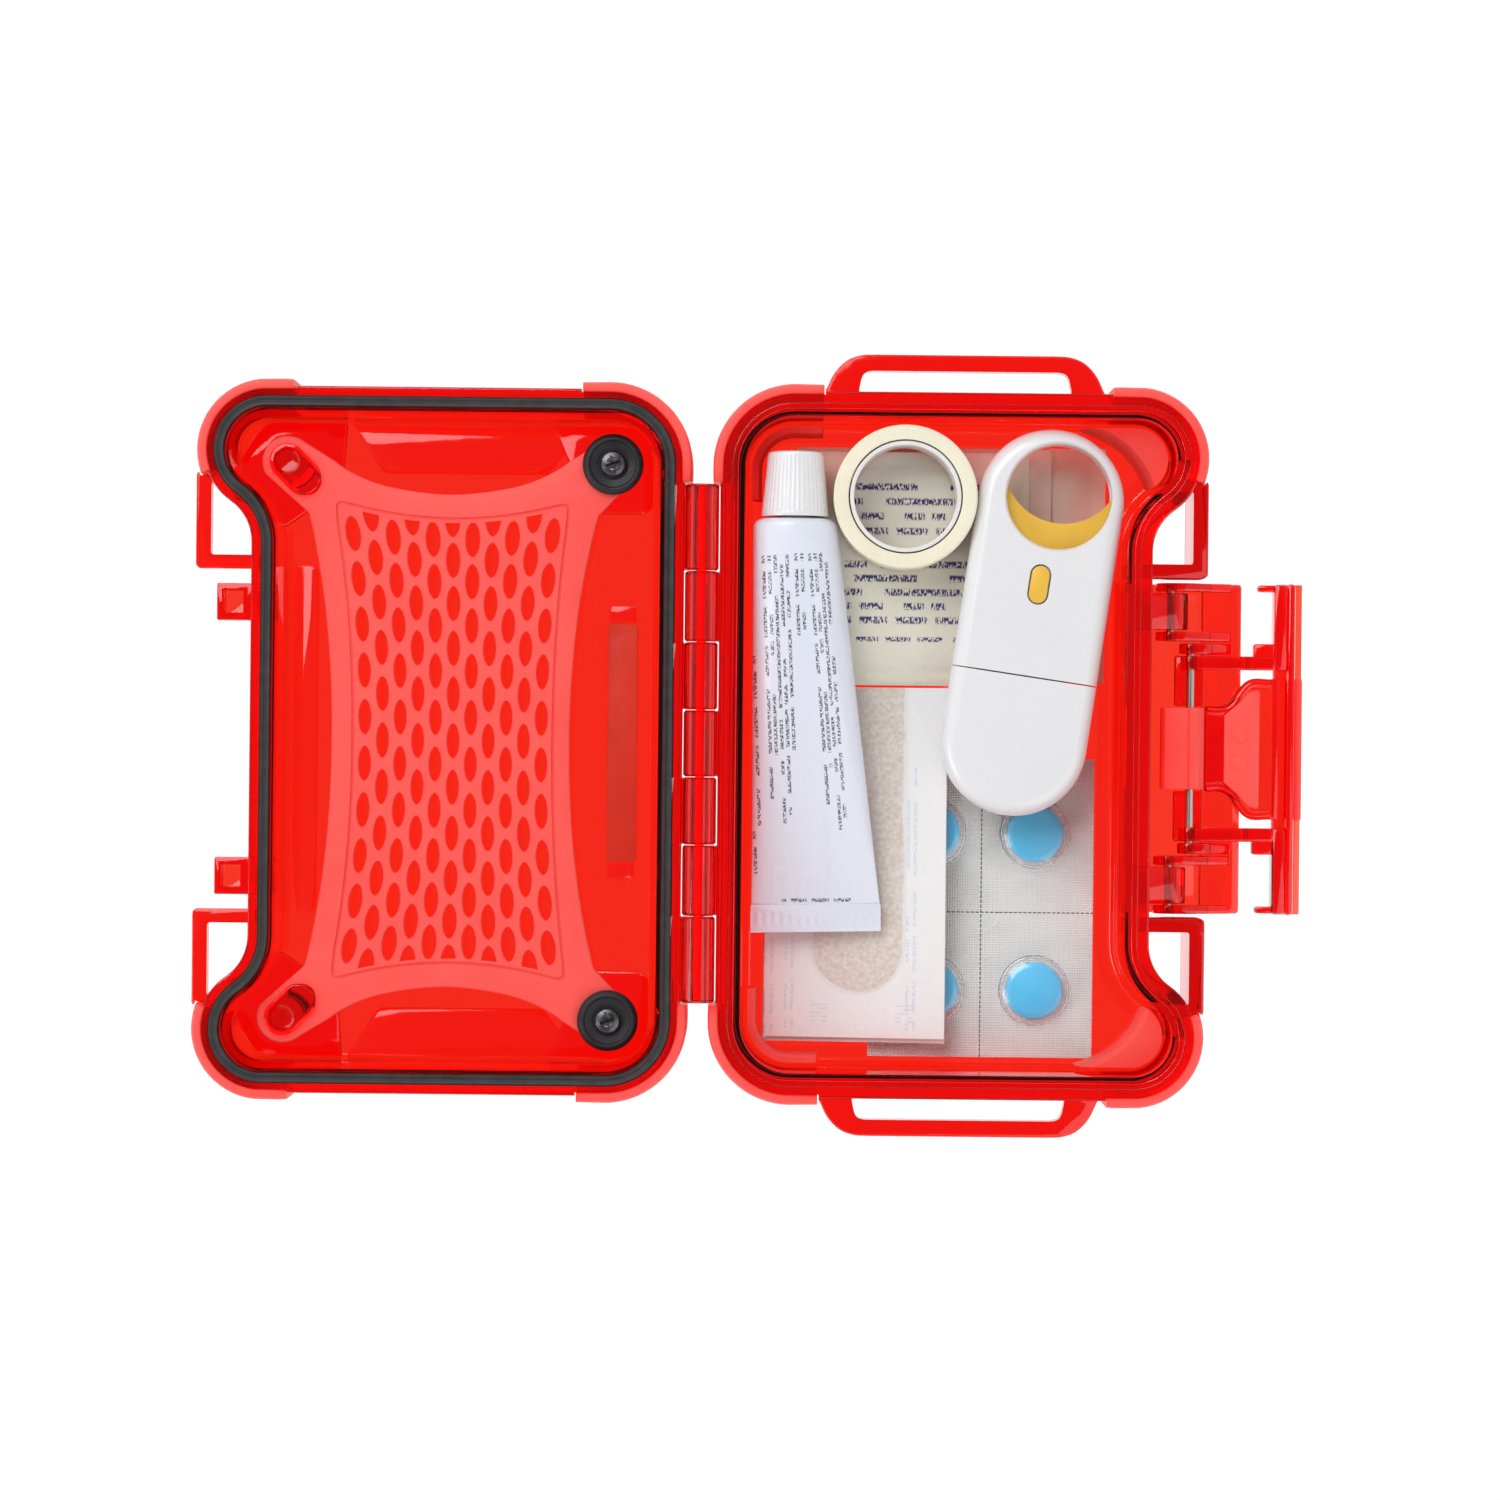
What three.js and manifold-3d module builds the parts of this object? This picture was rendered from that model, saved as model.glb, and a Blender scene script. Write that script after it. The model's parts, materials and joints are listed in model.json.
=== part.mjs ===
// Small translucent hard case with a first aid outfit inside, lying open.
// Millimetres, +Z up. The origin is the centre of the bottom half's underside.
// The bottom half lies towards +X and the lid lies open towards -X, hinged along Y.
// Each half is drawn in its own half frame: u is the distance from the hinge axis,
// y runs along the hinge, z rises from the half's flat outside face to its rim.
import * as THREE from 'three';
import { mergeVertices } from 'three/addons/utils/BufferGeometryUtils.js';
import Module from 'manifold-3d';

const wasm = await Module();
wasm.setup();

// ---------------------------------------------------------------- driving dimensions
const GAP = 0.3; // clearance between neighbouring pieces
const HINGE_X = -56; // hinge axis, from the centre of the bottom half
const HINGE_Z = 21; // hinge axis height
const RIM_Z = 20.85; // rim height of each half
const FLOOR_Z = 2.4; // inside floor of each half
const SEAL = { hingeU: 7, latchU: 93.8, sideY: 72.9, cornerR: 13, lobeU: 94, lobeR: 10.5, neckR: 14 };
const FLANGE = 3.2; // rim flange, outside the seal line
const BARREL_R = 3.4; // hinge knuckle radius
const BORE_R = 1.35; // running bore round a pin
const PIN_R = 1; // hinge and latch pin radius
const KNUCKLES = [-55.8, -37.1, -21.8, -7.2, 7.2, 21.8, 37.1, 55.8]; // knuckle ends along the hinge
const LINK_PIN = { u: 102.2, z: 7 }; // latch link pivot on the bottom half
const CLAW_PIN = { u: 106.7, z: 7 }; // latch claw pivot on the link
const WEB = { z: 12, thick: 2, armU: 90, armHingeU: 19.5, armY: 60.2 };
const LAYER = FLOOR_Z + GAP; // underside of whatever lies on the floor
const POUCH_T = 1.6; // thickness of one swab pouch
const STACK_Z = LAYER + 3 * POUCH_T + 3 * GAP; // where things on the pouch stack lie
const TAPE = { u: 43.7, y: 53.6, outerR: 15.5, innerR: 12.3, width: 12.5 };
const TUBE = { u: 20, crimpU: 25.4, shoulderY: 47, crimpY: -35, endY: -41, z: 15.8, crimpZ: 10 };
const CAP = { y0: 49.2, y1: 63.2, r0: 7.3, r1: 5.9 };
const TOOL = { u: 75.2, y: 52.8, r: 15.8, tilt: -8.19, split: -37.8, end: -68.3, z: 10.2, thick: 10 };
const CARD = { u0: 37, u1: 86.3, y0: -68.1, y1: -2.5 };
const DOME = { r: 7.75, height: 3.4, wall: 0.3, us: [50.5, 73.4], ys: [-53.3, -18.9] };
const WRAP = { u0: 14.2, u1: 53.8, y0: -64.8, y1: 12.6, tilt: 7.8 };

// ---------------------------------------------------------------- materials
const finish = (color, roughness, metalness = 0, opacity = 1) =>
  new THREE.MeshStandardMaterial({ color, roughness, metalness, opacity, transparent: opacity < 1 });
const RED_CLEAR = finish(0xf01c12, 0.08, 0, 0.6);
const CORAL = finish(0xff5852, 0.55);
const BLACK_RUBBER = finish(0x2e2f31, 0.7);
const STEEL = finish(0xb4b2ae, 0.25, 1);
const DARK_STEEL = finish(0x3c3c3d, 0.35, 1);
const LABEL = finish(0xc23a20, 0.5);
const WHITE = finish(0xebebee, 0.3);
const YELLOW = finish(0xe4b93c, 0.4);
const TUBE_WHITE = finish(0xdadce6, 0.35);
const TAPE_CREAM = finish(0xebe6cd, 0.5);
const CORE_CLEAR = finish(0xe8e6dc, 0.2, 0, 0.6);
const PAPER = finish(0xe1decd, 0.85);
const PAPER_PINK = finish(0xe8d2c6, 0.85);
const WRAPPER = finish(0xe6e6e4, 0.8);
const STRIP = finish(0xcdbeb4, 0.9);
const FOIL = finish(0xc4c4c2, 0.35, 0.9);
const BLISTER = finish(0xe6eef2, 0.05, 0, 0.35);
const TABLET = finish(0x3ca5d2, 0.4);

// ---------------------------------------------------------------- solids
const solid = (geometry) => {
  const bare = geometry.index ? geometry.toNonIndexed() : geometry.clone();
  bare.deleteAttribute('normal');
  bare.deleteAttribute('uv');
  const merged = mergeVertices(bare, 1e-4);
  return new wasm.Manifold(new wasm.Mesh({
    numProp: 3,
    vertProperties: merged.attributes.position.array,
    triVerts: new Uint32Array(merged.index.array),
  }));
};
const join = (...solids) => solids.reduce((a, b) => a.add(b));
const cut = (body, ...tools) => tools.reduce((a, b) => a.subtract(b), body);
const geometryOf = (body) => {
  const mesh = body.getMesh();
  const geometry = new THREE.BufferGeometry();
  geometry.setAttribute('position', new THREE.BufferAttribute(new Float32Array(mesh.vertProperties), 3));
  geometry.setIndex(new THREE.BufferAttribute(new Uint32Array(mesh.triVerts), 1));
  geometry.computeVertexNormals();
  return geometry;
};

// A closed skin through rings of equal length, each a list of [x, y, z], capped flat at both ends.
function loft(rings) {
  const count = rings[0].length;
  const points = rings.flat();
  const faces = [];
  for (let k = 0; k + 1 < rings.length; k++) {
    for (let i = 0; i < count; i++) {
      const a = k * count + i;
      const b = k * count + (i + 1) % count;
      faces.push(a, b, b + count, a, b + count, a + count);
    }
  }
  for (const [k, reversed] of [[0, true], [rings.length - 1, false]]) {
    const flat = flatten(rings[k]);
    for (const [a, b, c] of THREE.ShapeUtils.triangulateShape(flat, [])) {
      const inOrder = THREE.ShapeUtils.isClockWise(flat) !== reversed;
      faces.push(...(inOrder ? [a, c, b] : [a, b, c]).map((i) => i + k * count));
    }
  }
  const geometry = new THREE.BufferGeometry();
  geometry.setAttribute('position', new THREE.Float32BufferAttribute(points.flat(), 3));
  geometry.setIndex(faces);
  const body = solid(geometry);
  if (body.volume() > 0) return body;
  geometry.setIndex(faces.map((_, i) => faces[i - (i % 3) + [0, 2, 1][i % 3]]));
  return solid(geometry);
}

// A planar ring of 3-D points, seen along the axis that it faces most.
function flatten(points) {
  const normal = [0, 0, 0];
  points.forEach((p, i) => {
    const q = points[(i + 1) % points.length];
    for (const [k, m, n] of [[0, 1, 2], [1, 2, 0], [2, 0, 1]]) {
      normal[k] += (p[m] - q[m]) * (p[n] + q[n]);
    }
  });
  const size = normal.map(Math.abs);
  const [m, n] = [[1, 2], [2, 0], [0, 1]][size.indexOf(Math.max(...size))];
  return points.map((p) => new THREE.Vector2(p[m], p[n]));
}

const block = (u0, u1, y0, y1, z0, z1) => solid(
  new THREE.BoxGeometry(u1 - u0, y1 - y0, z1 - z0)
    .translate((u0 + u1) / 2, (y0 + y1) / 2, (z0 + z1) / 2));
const rodY = (u, z, y0, y1, r, sides = 16) => solid(
  new THREE.CylinderGeometry(r, r, y1 - y0, sides).translate(u, (y0 + y1) / 2, z));
const rodZ = (u, y, z0, z1, r, sides = 24) => solid(
  new THREE.CylinderGeometry(r, r, z1 - z0, sides).rotateX(Math.PI / 2).translate(u, y, (z0 + z1) / 2));
const lathe = (profile, sides = 24) => solid(
  new THREE.LatheGeometry(profile.map(([r, z]) => new THREE.Vector2(r, z)), sides).rotateX(Math.PI / 2));
const plate = (points, z0, z1) => solid(
  new THREE.ExtrudeGeometry(new THREE.Shape(points.map(([x, y]) => new THREE.Vector2(x, y))),
    { depth: z1 - z0, bevelEnabled: false }).translate(0, 0, z0));
// An outline in the (u, z) plane, run along y.
const sidePlate = (points, y0, y1) => solid(
  new THREE.ExtrudeGeometry(new THREE.Shape(points.map(([x, z]) => new THREE.Vector2(x, z))),
    { depth: y1 - y0, bevelEnabled: false }).rotateX(Math.PI / 2).translate(0, y1, 0));
const mirrorY = (points) => points.map(([x, y]) => [x, -y]).reverse();
const arc = (cx, cy, r, from, to, steps) => Array.from({ length: steps + 1 }, (_, i) => {
  const a = THREE.MathUtils.degToRad(from + (to - from) * i / steps);
  return [cx + r * Math.cos(a), cy + r * Math.sin(a)];
});

// ---------------------------------------------------------------- the case outline
// The seal line of a half, moved outwards by d: a straight latch side that swells through
// an S-curve into a lobe at each latch corner, straight long sides and round hinge corners.
const LOBE_Y = SEAL.sideY - SEAL.lobeR;
const CORNER = { u: SEAL.hingeU + SEAL.cornerR, y: SEAL.sideY - SEAL.cornerR };
const NECK_U = SEAL.latchU + SEAL.neckR;
const NECK_Y = LOBE_Y - Math.sqrt((SEAL.neckR + SEAL.lobeR) ** 2 - (NECK_U - SEAL.lobeU) ** 2);
const NECK_TURN = THREE.MathUtils.radToDeg(Math.atan2(LOBE_Y - NECK_Y, NECK_U - SEAL.lobeU));
const ARC_STEPS = { neck: 4, lobe: 7, corner: 5 };

function outline(d) {
  const half = [
    ...arc(NECK_U, NECK_Y, SEAL.neckR - d, 180, 180 - NECK_TURN, ARC_STEPS.neck),
    ...arc(SEAL.lobeU, LOBE_Y, SEAL.lobeR + d, -NECK_TURN, 90, ARC_STEPS.lobe).slice(1),
    ...arc(CORNER.u, CORNER.y, SEAL.cornerR + d, 90, 180, ARC_STEPS.corner),
  ];
  return [...half, ...mirrorY(half)];
}
const ring = (d, z) => outline(d).map(([u, y]) => [u, y, z]);
const layers = (profile) => loft(profile.map(([d, z]) => ring(d, z)));

// ---------------------------------------------------------------- soft corner bumpers
// Each profile is (offset from the seal line, height); the room is what the shell leaves for it.
const BUMPER = [[0.3, 3], [2.4, 1.2], [4.1, 2], [4.8, 4.5], [4.8, 19], [4.3, 20.2], [3.4, 20.2],
  [3.4, 15.1], [0.5, 13.4]];
const BUMPER_ROOM = [[0, 2.8], [2.3, 0.8], [4.4, 1.6], [5.2, 4.4], [5.2, 19.2], [4.5, 20.5], [3, 20.5],
  [3, 15.45], [0, 13.9]];

// Stations run round a corner as places along the outline's own points, so that a swept piece
// and the shell share their facets; extra lengthens both ends by that many millimetres.
const LOBE_AT = ARC_STEPS.neck; // the outline point where the lobe's arc starts
const SIDE_AT = LOBE_AT + ARC_STEPS.lobe; // where the long side starts
const CORNER_AT = SIDE_AT + 1; // where the hinge corner's arc starts
const BACK_AT = CORNER_AT + ARC_STEPS.corner; // where the hinge side starts
function cornerStations(atLatch, extra = 0) {
  const side = SEAL.lobeU - CORNER.u;
  const back = 2 * CORNER.y;
  const start = atLatch ? LOBE_AT + 1.65 - extra / 4 : CORNER_AT - (6 + extra) / side;
  const end = atLatch ? SIDE_AT + (5.4 + extra) / side : BACK_AT + (3.5 + extra) / back;
  const whole = Array.from({ length: BACK_AT + 1 }, (_, k) => k).filter((k) => k > start && k < end);
  return [start, ...whole, end];
}
function pointAt(points, t) {
  const k = Math.floor(t);
  return points[k].map((v, i) => THREE.MathUtils.lerp(v, points[k + 1][i], t - k));
}

function sweepCorner(profile, stations, side) {
  const paths = profile.map(([d]) => outline(d));
  return loft(stations.map((t) => profile.map(([, z], i) => {
    const [u, y] = pointAt(paths[i], t);
    return [u, side * y, z];
  })));
}

const bumperRooms = () => [true, false].flatMap((atLatch) =>
  [1, -1].map((side) => sweepCorner(BUMPER_ROOM, cornerStations(atLatch, GAP), side)));

// ---------------------------------------------------------------- shells
const OUTSIDE = [[-5, 0], [-2.4, 0.7], [-1.2, 2.4], [-0.8, 5], [-0.2, 14.2], [FLANGE, 15.6],
  [FLANGE, RIM_Z - GAP], [FLANGE - 0.3, RIM_Z]];
const CAVITY = [[-3.2, FLOOR_Z], [-2.2, RIM_Z - 1], [-2, RIM_Z + 1]];

function hingeKnuckles(body, first) {
  for (let k = first; k + 1 < KNUCKLES.length; k += 2) {
    const y0 = KNUCKLES[k] + GAP / 2;
    const y1 = KNUCKLES[k + 1] - GAP / 2;
    body = join(body, rodY(0, HINGE_Z, y0, y1, BARREL_R, 20), block(0.4, 5.2, y0, y1, 17.7, RIM_Z - 0.45));
  }
  return cut(body, rodY(0, HINGE_Z, -70, 70, BORE_R, 12));
}

// A loop beside a latch-side corner, closed by the case wall on its inner side.
function haspLoop(side, z0, z1) {
  const frame = [[95, 36.6], [107.3, 36.6], ...arc(107, 38.6, 2, -60, 0, 3), [109, 57], [104, 62], [95, 58]];
  const hole = [[90, 39.6], [105.7, 39.6], [105.7, 55.4], [90, 55.4]];
  const turn = side > 0 ? (points) => points : mirrorY;
  return cut(plate(turn(frame), z0, z1), plate(turn(hole), z0 - 1, z1 + 1));
}

// The long carrying loop on a long side.
function carryLoop(side) {
  const frame = [[27.5, 74], [87, 74], [87, 77], ...arc(79, 80.4, 3.8, 30, 90, 3),
    ...arc(35.5, 80.4, 3.8, 90, 150, 3), [27.5, 77]];
  const hole = [[36.5, 70], [78, 70], ...arc(78, 79, 1.6, 0, 90, 2), ...arc(36.5, 79, 1.6, 90, 180, 2)];
  const turn = side > 0 ? (points) => points : mirrorY;
  return cut(plate(turn(frame), 16, 20), plate(turn(hole), 15, 21));
}

const SHELF = { u0: 92.6, u1: 108.6, halfY: 36, z: 1.7 }; // low ledge below the latch

function baseShell() {
  let body = layers(OUTSIDE);
  for (const side of [-1, 1]) {
    body = join(body, haspLoop(side, 1, 20.2), carryLoop(side));
  }
  for (const [y0, y1] of [[-33.8, -25.8], [25.8, 33.8]]) {
    const ear = [[92, 2.6], [LINK_PIN.u, LINK_PIN.z - 3.8],
      ...arc(LINK_PIN.u, LINK_PIN.z, 3.8, -60, 90, 6), [96.5, 13], [92, 13]];
    body = join(body, cut(sidePlate(ear, y0, y1), rodY(LINK_PIN.u, LINK_PIN.z, y0 - 1, y1 + 1, BORE_R, 12)));
  }
  body = cut(body, layers(CAVITY), ...bumperRooms());
  const tongue = cut(layers([[0.8, RIM_Z - 0.5], [0.6, RIM_Z + 0.6]]), layers([[-0.8, RIM_Z - 1], [-0.6, RIM_Z + 1]]));
  return hingeKnuckles(join(body, tongue), 1);
}

function lidShell() {
  let body = layers(OUTSIDE);
  for (const side of [-1, 1]) {
    body = join(body, haspLoop(side, 16.6, 20.2));
  }
  for (const [y0, y1] of [[-33.5, -25.5], [25.5, 33.5]]) {
    const lug = cut(block(94, 104.3, y0, y1, 13.85, RIM_Z - 0.4), block(98.6, 102.8, y0 + 1.6, y1 - 1.6, 15.6, 22));
    body = join(body, lug);
  }
  body = cut(body, layers(CAVITY), ...bumperRooms());
  for (const side of [-1, 1]) {
    const boss = rodZ(WEB.armHingeU, side * WEB.armY, 1.5, WEB.z - GAP, 4, 20);
    body = join(body, boss);
    body = cut(body, rodZ(WEB.armHingeU, side * WEB.armY, 4, WEB.z + 1, 1.8, 12));
  }
  const groove = cut(layers([[1.5, RIM_Z - 2.4], [1.5, 23]]), layers([[-1.5, RIM_Z - 3], [-1.5, 24]]));
  return hingeKnuckles(cut(body, groove), 0);
}

// ---------------------------------------------------------------- pads inside the bottom half
function innerPad(atLatch, side) {
  const room = layers([[-4.9, 3.3], [-3.9, 5], [-3.6, 9], [-3.4, 13]]);
  if (atLatch) {
    const corner = block(82, 110, ...(side > 0 ? [53.4, 80] : [-80, -53.4]), 0, 12.8);
    return cut(room.intersect(corner), rodZ(79, side * 50.6, 0, 20, 19, 40));
  }
  const corner = block(0, 26, ...(side > 0 ? [53, 80] : [-80, -53]), 0, 9.5);
  return cut(room.intersect(corner), layers([[-5.6, 0], [-5.2, 20]]));
}

// ---------------------------------------------------------------- the lid's perforated web
const HOLE = { width: 2.9, height: 7.6, pitch: 10.1, columns: 11, lastY: 45.5 };

// Half the web's outline at height y: concave hinge and latch edges that spread towards the arms.
const webEdge = (middle, spread, y) => middle + spread * (Math.abs(y) / WEB.armY) ** 2.2;
const FIELD = { latch: 75, latchSpread: 7, hinge: 31.8, hingeSpread: -4.6 };

function webOutline() {
  const arm = (u, from, to) => arc(u, WEB.armY, 5.6, from, to, 6);
  const topEdge = [[78, 58.8], [68, 55], [54.75, 53.4], [41.5, 55], [31, 59]];
  const latchEdge = Array.from({ length: 7 }, (_, i) => {
    const y = -48 + 16 * i;
    return [webEdge(80, 8.4, y), y];
  });
  const hingeEdge = latchEdge.map(([, y]) => [webEdge(28.3, -9, -y), -y]);
  const top = [...arm(WEB.armU, -30, 130), ...topEdge, ...arm(WEB.armHingeU, 50, 210)];
  return [...latchEdge, ...top, ...hingeEdge, ...mirrorY(top)];
}

// A long lozenge, tips along y.
function almond(u, y) {
  const w = HOLE.width / 2;
  const h = HOLE.height / 2;
  return [[u, y - h], [u + w, y], [u, y + h], [u - w, y]];
}

function webHoles() {
  const holes = [];
  for (let k = 0; k < HOLE.columns; k++) {
    const across = (k + 0.5) / HOLE.columns;
    const firstY = HOLE.pitch * (k % 2 ? -4 : -4.5);
    for (let y = firstY; y < HOLE.lastY; y += HOLE.pitch) {
      const latch = webEdge(FIELD.latch, FIELD.latchSpread, y) - 0.6;
      const hinge = webEdge(FIELD.hinge, FIELD.hingeSpread, y) + 0.6;
      holes.push(almond(hinge + (latch - hinge) * across, y));
    }
  }
  return holes;
}

function web() {
  const shape = new THREE.Shape(webOutline().map(([u, y]) => new THREE.Vector2(u, y)));
  shape.holes = webHoles().map((hole) => new THREE.Path(hole.map(([u, y]) => new THREE.Vector2(u, y))));
  let body = solid(new THREE.ExtrudeGeometry(shape, { depth: WEB.thick, bevelEnabled: false })
    .translate(0, 0, WEB.z));
  for (const side of [-1, 1]) {
    body = cut(body, rodZ(WEB.armU, side * WEB.armY, 10, 16, 3, 16));
    body = cut(body, rodZ(WEB.armHingeU, side * WEB.armY, 10, 16, 1.9, 12));
  }
  return body;
}

const WEB_TOP = WEB.z + WEB.thick;
// Turned pieces of the web's fixings, on their own axes.
const webPost = () => lathe([[0, LAYER + 0.2], [5, LAYER + 0.2], [4.2, WEB.z - GAP], [2.6, WEB.z - GAP],
  [2.6, WEB_TOP + GAP], [3.9, WEB_TOP + GAP], [3.5, WEB_TOP + 1.6], [0, WEB_TOP + 1.6]], 14);
const washer = () => lathe([[1.9, WEB_TOP + GAP], [6.6, WEB_TOP + GAP], [6.6, WEB_TOP + 1.4],
  [5.6, WEB_TOP + 2.1], [3.2, WEB_TOP + 1.3], [1.9, WEB_TOP + 1.3], [1.9, WEB_TOP + GAP]], 20);
function webScrew() {
  const head = lathe([[0, 4.6], [1.4, 4.6], [1.4, WEB_TOP + 1.6], [2.9, WEB_TOP + 1.6], [2.9, WEB_TOP + 2.2],
    [2, WEB_TOP + 3], [0, WEB_TOP + 3.2]], 12);
  const slot = join(block(-1.6, 1.6, -0.35, 0.35, WEB_TOP + 2, 20), block(-0.35, 0.35, -1.6, 1.6, WEB_TOP + 2, 20));
  return cut(head, slot);
}

// ---------------------------------------------------------------- latch
const CHEEKS = [[20.6, 22.9, CLAW_PIN, 2.6], [23.4, 25.4, LINK_PIN, 3.3], [34.2, 36, LINK_PIN, 3.3]];
const LINK_PLATE = { u0: 109.3, u1: 118, z0: 2, z1: 4.5 };

function latchLink() {
  const { u0, u1, z0, z1 } = LINK_PLATE;
  let body = join(block(u0, u1, -36, 36, z0, z1),
    block(103.5, u0 + 1, 9.3, 20.3, z0, z1 - 0.3), block(103.5, u0 + 1, -20.3, -9.3, z0, z1 - 0.3));
  for (const [inner, outer, pin, r] of CHEEKS) {
    for (const [y0, y1] of [[inner, outer], [-outer, -inner]]) {
      const cheek = [[u1 - 2, z0], [u1 - 2, z1 + 1.5], [pin.u + 3, pin.z + r],
        ...arc(pin.u, pin.z, r, 90, 260, 7), [u0 - 1, z0]];
      body = join(body, cut(sidePlate(cheek, y0, y1), rodY(pin.u, pin.z, y0 - 1, y1 + 1, BORE_R, 12)));
    }
  }
  return body;
}

const clawPlan = [[110, -9.2], [113, -9.4], [116, -12], [118.5, -15], [126, -15.4],
  [126, 15.4], [118.5, 15], [116, 12], [113, 9.4], [110, 9.2]];
const gripPlan = [[113.8, -7.6], [116.6, -10], [118.9, -12.6], [122, -13.2],
  [122, 13.2], [118.9, 12.6], [116.6, 10], [113.8, 7.6]];
const CLAW = {
  armZ0: 4.9, armZ1: 9, panelZ1: 7.4, // arms and the panel between them
  plateU0: 125, hookU: 124.6, plateU: 129.4, plateZ: 2, // bar across the claw's end
  edgeU: 131.4, edgeZ: 2.8, halfY: 36.1, // thin outer ledge
};

function latchClaw() {
  let body = join(
    block(CLAW.plateU0, CLAW.plateU, -CLAW.halfY, CLAW.halfY, CLAW.plateZ, 5.2),
    block(CLAW.plateU - 2, CLAW.plateU, -CLAW.halfY, CLAW.halfY, CLAW.plateZ, 8.4),
    block(CLAW.plateU - 1, CLAW.edgeU, -CLAW.halfY, CLAW.halfY, CLAW.plateZ, CLAW.edgeZ),
    plate(clawPlan, CLAW.armZ0, CLAW.panelZ1),
  );
  for (const side of [-1, 1]) {
    const span = (a, b) => (side > 0 ? [a, b] : [-b, -a]);
    const arm = [[126, 3.4], [126, CLAW.armZ1], [CLAW.hookU, 10], [CLAW_PIN.u, CLAW_PIN.z + 2.3],
      ...arc(CLAW_PIN.u, CLAW_PIN.z, 2.3, 90, 246, 6), [118.6, CLAW.armZ0], [120, 3.4]];
    body = join(body,
      cut(sidePlate(arm, ...span(17.2, 20.2)), rodY(CLAW_PIN.u, CLAW_PIN.z, -40, 40, BORE_R, 12)),
      block(CLAW.hookU, 127.4, ...span(17.2, 35.8), 3.4, 10.1),
      block(121.2, 127, ...span(34.3, 35.8), 3.4, 8),
      block(120.4, 127, ...span(17.2, 23), 3.4, 8));
  }
  return cut(body, plate(gripPlan, CLAW.panelZ1 - 1.2, 12));
}

const gripInset = gripPlan.map(([u, y]) => [u + (u < 118 ? GAP : -GAP), y - Math.sign(y) * GAP]);
const latchGrip = () => plate(gripInset, CLAW.panelZ1 - 1.2 + GAP, CLAW.panelZ1 + 0.5);
const thumbBar = () => block(CLAW.plateU + GAP, CLAW.edgeU, -15.5, 15.5, CLAW.edgeZ + GAP, 4.8);

function latchPad() {
  const side = [[109.6, 4.9], [109.6, 8.6], [108.2, 9.8], [101, 9.8], [100.3, 9], [100.3, 5.4], [100.9, 4.9]];
  return cut(sidePlate(side, -8.9, 8.9), rodY(CLAW_PIN.u, CLAW_PIN.z, -10, 10, BORE_R, 12));
}

// ---------------------------------------------------------------- contents
// An ellipse-like section across the tube at height y along it.
function tubeSection(y, u, z, halfWidth, halfThick, sides = 20) {
  return Array.from({ length: sides }, (_, i) => {
    const a = 2 * Math.PI * i / sides;
    return [u + halfWidth * Math.cos(a), y, z + halfThick * Math.sin(a)];
  });
}

function tubeBody() {
  const steps = 6;
  const sections = [];
  for (let i = 0; i <= steps; i++) {
    const t = i / steps;
    const thick = 7 * (1 - t ** 1.6) + 0.5 * t ** 1.6;
    sections.push(tubeSection(
      THREE.MathUtils.lerp(TUBE.shoulderY, TUBE.crimpY, t),
      THREE.MathUtils.lerp(TUBE.u, TUBE.crimpU, t),
      THREE.MathUtils.lerp(TUBE.z, TUBE.crimpZ, t ** 1.3) + 0.3 * Math.sin(Math.PI * t),
      THREE.MathUtils.lerp(9.1, 14, t), thick));
  }
  sections.push(tubeSection(TUBE.endY, TUBE.crimpU, TUBE.crimpZ, 14.2, 0.6));
  const shoulder = [[TUBE.shoulderY, 9.1, 7], [48.6, 7, 6.2], [48.8, 3.6, 3.6], [59, 3.6, 3.6]]
    .map(([y, w, t]) => tubeSection(y, TUBE.u, TUBE.z, w, t)).reverse();
  return loft([...shoulder, ...sections.slice(1)]);
}

function tubeCap() {
  const bore = rodY(TUBE.u, TUBE.z, CAP.y0 - 1, 59.8, 4, 20);
  const section = (y, r) => tubeSection(y, TUBE.u, TUBE.z, r, r, 24);
  return cut(loft([section(CAP.y0, CAP.r0), section(CAP.y1 - 0.6, CAP.r1), section(CAP.y1, CAP.r1 - 0.6)]), bore);
}

function roundedSheet(u0, u1, y0, y1, z0, z1, r) {
  return plate([...arc(u1 - r, y1 - r, r, 0, 90, 3), ...arc(u0 + r, y1 - r, r, 90, 180, 3),
    ...arc(u0 + r, y0 + r, r, 180, 270, 3), ...arc(u1 - r, y0 + r, r, 270, 360, 3)], z0, z1);
}

function blisterCard() {
  const z = LAYER + 0.2 + GAP;
  const edge = roundedSheet(CARD.u0, CARD.u1, CARD.y0, CARD.y1, z, z + DOME.wall, 2);
  const dome = (r, h) => [[0, z - 1], [r, z - 1], [r, z + h * 0.4], [r * 0.8, z + h], [0, z + h]];
  const spots = DOME.us.flatMap((u) => DOME.ys.map((y) => [u, y]));
  const floor = block(30, 95, -80, 10, z - 2, z);
  const raised = spots.map(([u, y]) => cut(lathe(dome(DOME.r, DOME.height), 16).translate(u, y, 0), floor));
  const hollow = spots.map(([u, y]) => lathe(dome(DOME.r - DOME.wall, DOME.height - DOME.wall), 16).translate(u, y, 0));
  return cut(join(edge, ...raised), ...hollow);
}

const tablet = () => lathe([[0, 3.3], [5.2, 3.5], [6.2, 4.1], [6.2, 4.7], [4.6, 5.6], [0, 5.9]], 16);

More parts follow.
